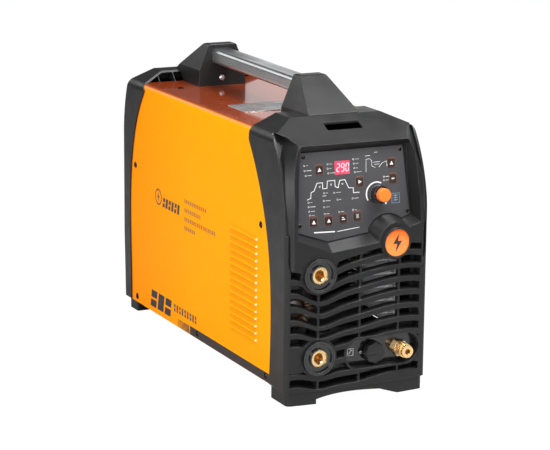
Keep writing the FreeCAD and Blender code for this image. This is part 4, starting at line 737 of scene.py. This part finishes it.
def cap_cord():
    """Flexible cord from an eye on the recess floor to the rubber cap."""
    cord_radius, sides = 0.75, 10
    points = [Vector(p) * MM for p in ((12.9, -285.0, 61.2), (12.4, -288.5, 62.0),
                                       (12.8, -291.5, 62.0), (14.4, -293.4, 61.4),
                                       (15.6, -293.6, 61.2))]
    path = smooth_path(points, 6)
    bm = bmesh.new()
    rings = []
    for i, p in enumerate(path):
        ahead = (path[min(i + 1, len(path) - 1)] - path[max(i - 1, 0)]).normalized()
        a = ahead.orthogonal().normalized()
        b = ahead.cross(a)
        rings.append([bm.verts.new(p + (a * math.cos(t) + b * math.sin(t)) * cord_radius * MM)
                      for t in [2 * math.pi * k / sides for k in range(sides)]])
    for u, v in zip(rings, rings[1:]):
        for k in range(sides):
            bm.faces.new((u[k], u[(k + 1) % sides], v[(k + 1) % sides], v[k]))
    bm.faces.new(rings[0][::-1])
    bm.faces.new(rings[-1])
    obj = mesh_object(bm, "cap_tether", MATS["black_rubber"])
    for face in obj.data.polygons:
        face.use_smooth = True
    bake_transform(obj)
    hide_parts("cap_cord")


panel_white()
panel_key_frames()
panel_icon_box()
key_legends()
digits()
side_graphics(flat_left(-COVER_SIDE_X), -1.0, "left")
side_graphics(flat_right(COVER_SIDE_X), 1.0, "right")
badge_mark()
rating_lines()
recess_icon()
cap_cord()


# ---------------------------------------------------------------- stage

def floor():
    """Pale floor. The camera sees most of it as plain light, so it runs into the background."""
    half, depth = 6000.0, 2.0
    bm = bmesh.new()
    add_prism(bm, rect(-half, -half, half, half), flat_top(-depth), 0.0, depth)
    g = Graph("floor_pale")
    mottle = g.span(g.noise(3.0), 0.3, 0.7, 0.0, 1.0)
    g.set(Base_Color=g.mix(mottle, (0.42, 0.42, 0.42), (0.46, 0.46, 0.46)),
          Roughness=g.span(g.noise(20.0), 0.3, 0.7, 0.5, 0.6))
    glow = g.node("ShaderNodeEmission", Color=(1.0, 1.0, 1.0, 1.0), Strength=1.12)
    path = g.tree.nodes.new("ShaderNodeLightPath")
    mix = g.tree.nodes.new("ShaderNodeMixShader")
    g.link(g.math("MULTIPLY", path.outputs["Is Camera Ray"], 0.88), mix.inputs[0])
    g.link(g.bsdf.outputs[0], mix.inputs[1])
    g.link(glow.outputs[0], mix.inputs[2])
    g.link(mix.outputs[0], g.out.inputs[0])
    mesh_object(bm, "floor", g.mat)


# name, place, what it points at, width and height (m), power (W)
LIGHTS = [
    ("key_left", (-3.0, -0.5, 0.8), (0, 0, 0.2), (2.0, 1.4), 46),
    ("top_soft", (-0.9, -1.1, 2.2), (0, 0, 0.2), (1.2, 1.2), 46),
    ("top_strong", (0.6, -0.8, 2.2), (0, -0.1, 0.2), (1.2, 1.2), 85),
    ("front_low", (-1.3, -2.9, 0.85), (0, -0.2, 0.2), (0.8, 0.8), 26),
    ("rear_fill", (-1.4, 2.6, 1.6), (0, 0, 0.2), (2.0, 1.4), 14),
    ("card_right", (2.2, 2.6, 1.2), (2.2, 0, 1.2), (2.0, 2.0), 9),
]


def area_light(name, at, target, size, power):
    light = bpy.data.lights.new(name, "AREA")
    light.shape = "RECTANGLE"
    light.size, light.size_y = size
    light.energy = power
    obj = linked_object(name, light)
    obj.location = at
    obj.rotation_euler = (Vector(target) - Vector(at)).to_track_quat("-Z", "Y").to_euler()


def world():
    """White to the camera; a dim fill to everything else, dimmer still behind the object."""
    w = bpy.data.worlds.new("studio")
    bpy.context.scene.world = w
    w.use_nodes = True
    tree = w.node_tree
    tree.nodes.clear()
    out = tree.nodes.new("ShaderNodeOutputWorld")
    camera = tree.nodes.new("ShaderNodeBackground")
    camera.inputs[0].default_value = (1, 1, 1, 1)
    camera.inputs[1].default_value = 1.0
    fill = tree.nodes.new("ShaderNodeBackground")
    fill.inputs[0].default_value = (1, 1, 1, 1)
    coords = tree.nodes.new("ShaderNodeTexCoord")
    xyz = tree.nodes.new("ShaderNodeSeparateXYZ")
    tree.links.new(coords.outputs["Generated"], xyz.inputs[0])
    behind = tree.nodes.new("ShaderNodeMapRange")
    for key, value in (("From Min", 0.25), ("From Max", 0.8), ("To Min", 0.16), ("To Max", 0.07)):
        behind.inputs[key].default_value = value
    tree.links.new(xyz.outputs[1], behind.inputs["Value"])
    tree.links.new(behind.outputs[0], fill.inputs[1])
    path = tree.nodes.new("ShaderNodeLightPath")
    mix = tree.nodes.new("ShaderNodeMixShader")
    tree.links.new(path.outputs["Is Camera Ray"], mix.inputs[0])
    tree.links.new(fill.outputs[0], mix.inputs[1])
    tree.links.new(camera.outputs[0], mix.inputs[2])
    tree.links.new(mix.outputs[0], out.inputs[0])


# the photograph's camera, found by fitting points of the CAD model to it
AZIMUTH, ELEVATION, ROLL = (math.radians(a) for a in (-25.896, 12.790, 0.489))
CAMERA_TARGET = Vector((0, 0, 0.2))
CAMERA_DISTANCE = 3.1798
PHOTO_WIDTH_PX = 550.0
FOCAL_PX = 2130.69
CENTRE_SHIFT_PX = (11.02, -10.74)
SENSOR_MM = 36.0


def photo_camera():
    back = Vector((math.sin(AZIMUTH) * math.cos(ELEVATION),
                   -math.cos(AZIMUTH) * math.cos(ELEVATION), math.sin(ELEVATION)))
    level = Vector((math.cos(AZIMUTH), math.sin(AZIMUTH), 0.0))
    upright = back.cross(level)
    right = level * math.cos(ROLL) + upright * math.sin(ROLL)
    up = upright * math.cos(ROLL) - level * math.sin(ROLL)
    cam = bpy.data.cameras.new("photo_camera")
    cam.sensor_width = SENSOR_MM
    cam.lens = FOCAL_PX / PHOTO_WIDTH_PX * SENSOR_MM
    cam.shift_x = CENTRE_SHIFT_PX[0] / PHOTO_WIDTH_PX
    cam.shift_y = CENTRE_SHIFT_PX[1] / PHOTO_WIDTH_PX
    cam.clip_end = 50.0
    obj = linked_object("photo_camera", cam)
    at = CAMERA_TARGET + back * CAMERA_DISTANCE
    obj.matrix_world = Matrix(((right.x, up.x, back.x, at.x), (right.y, up.y, back.y, at.y),
                               (right.z, up.z, back.z, at.z), (0, 0, 0, 1)))
    bpy.context.scene.camera = obj


floor()
for light in LIGHTS:
    area_light(*light)
world()
photo_camera()
bpy.context.scene.view_settings.view_transform = "Standard"
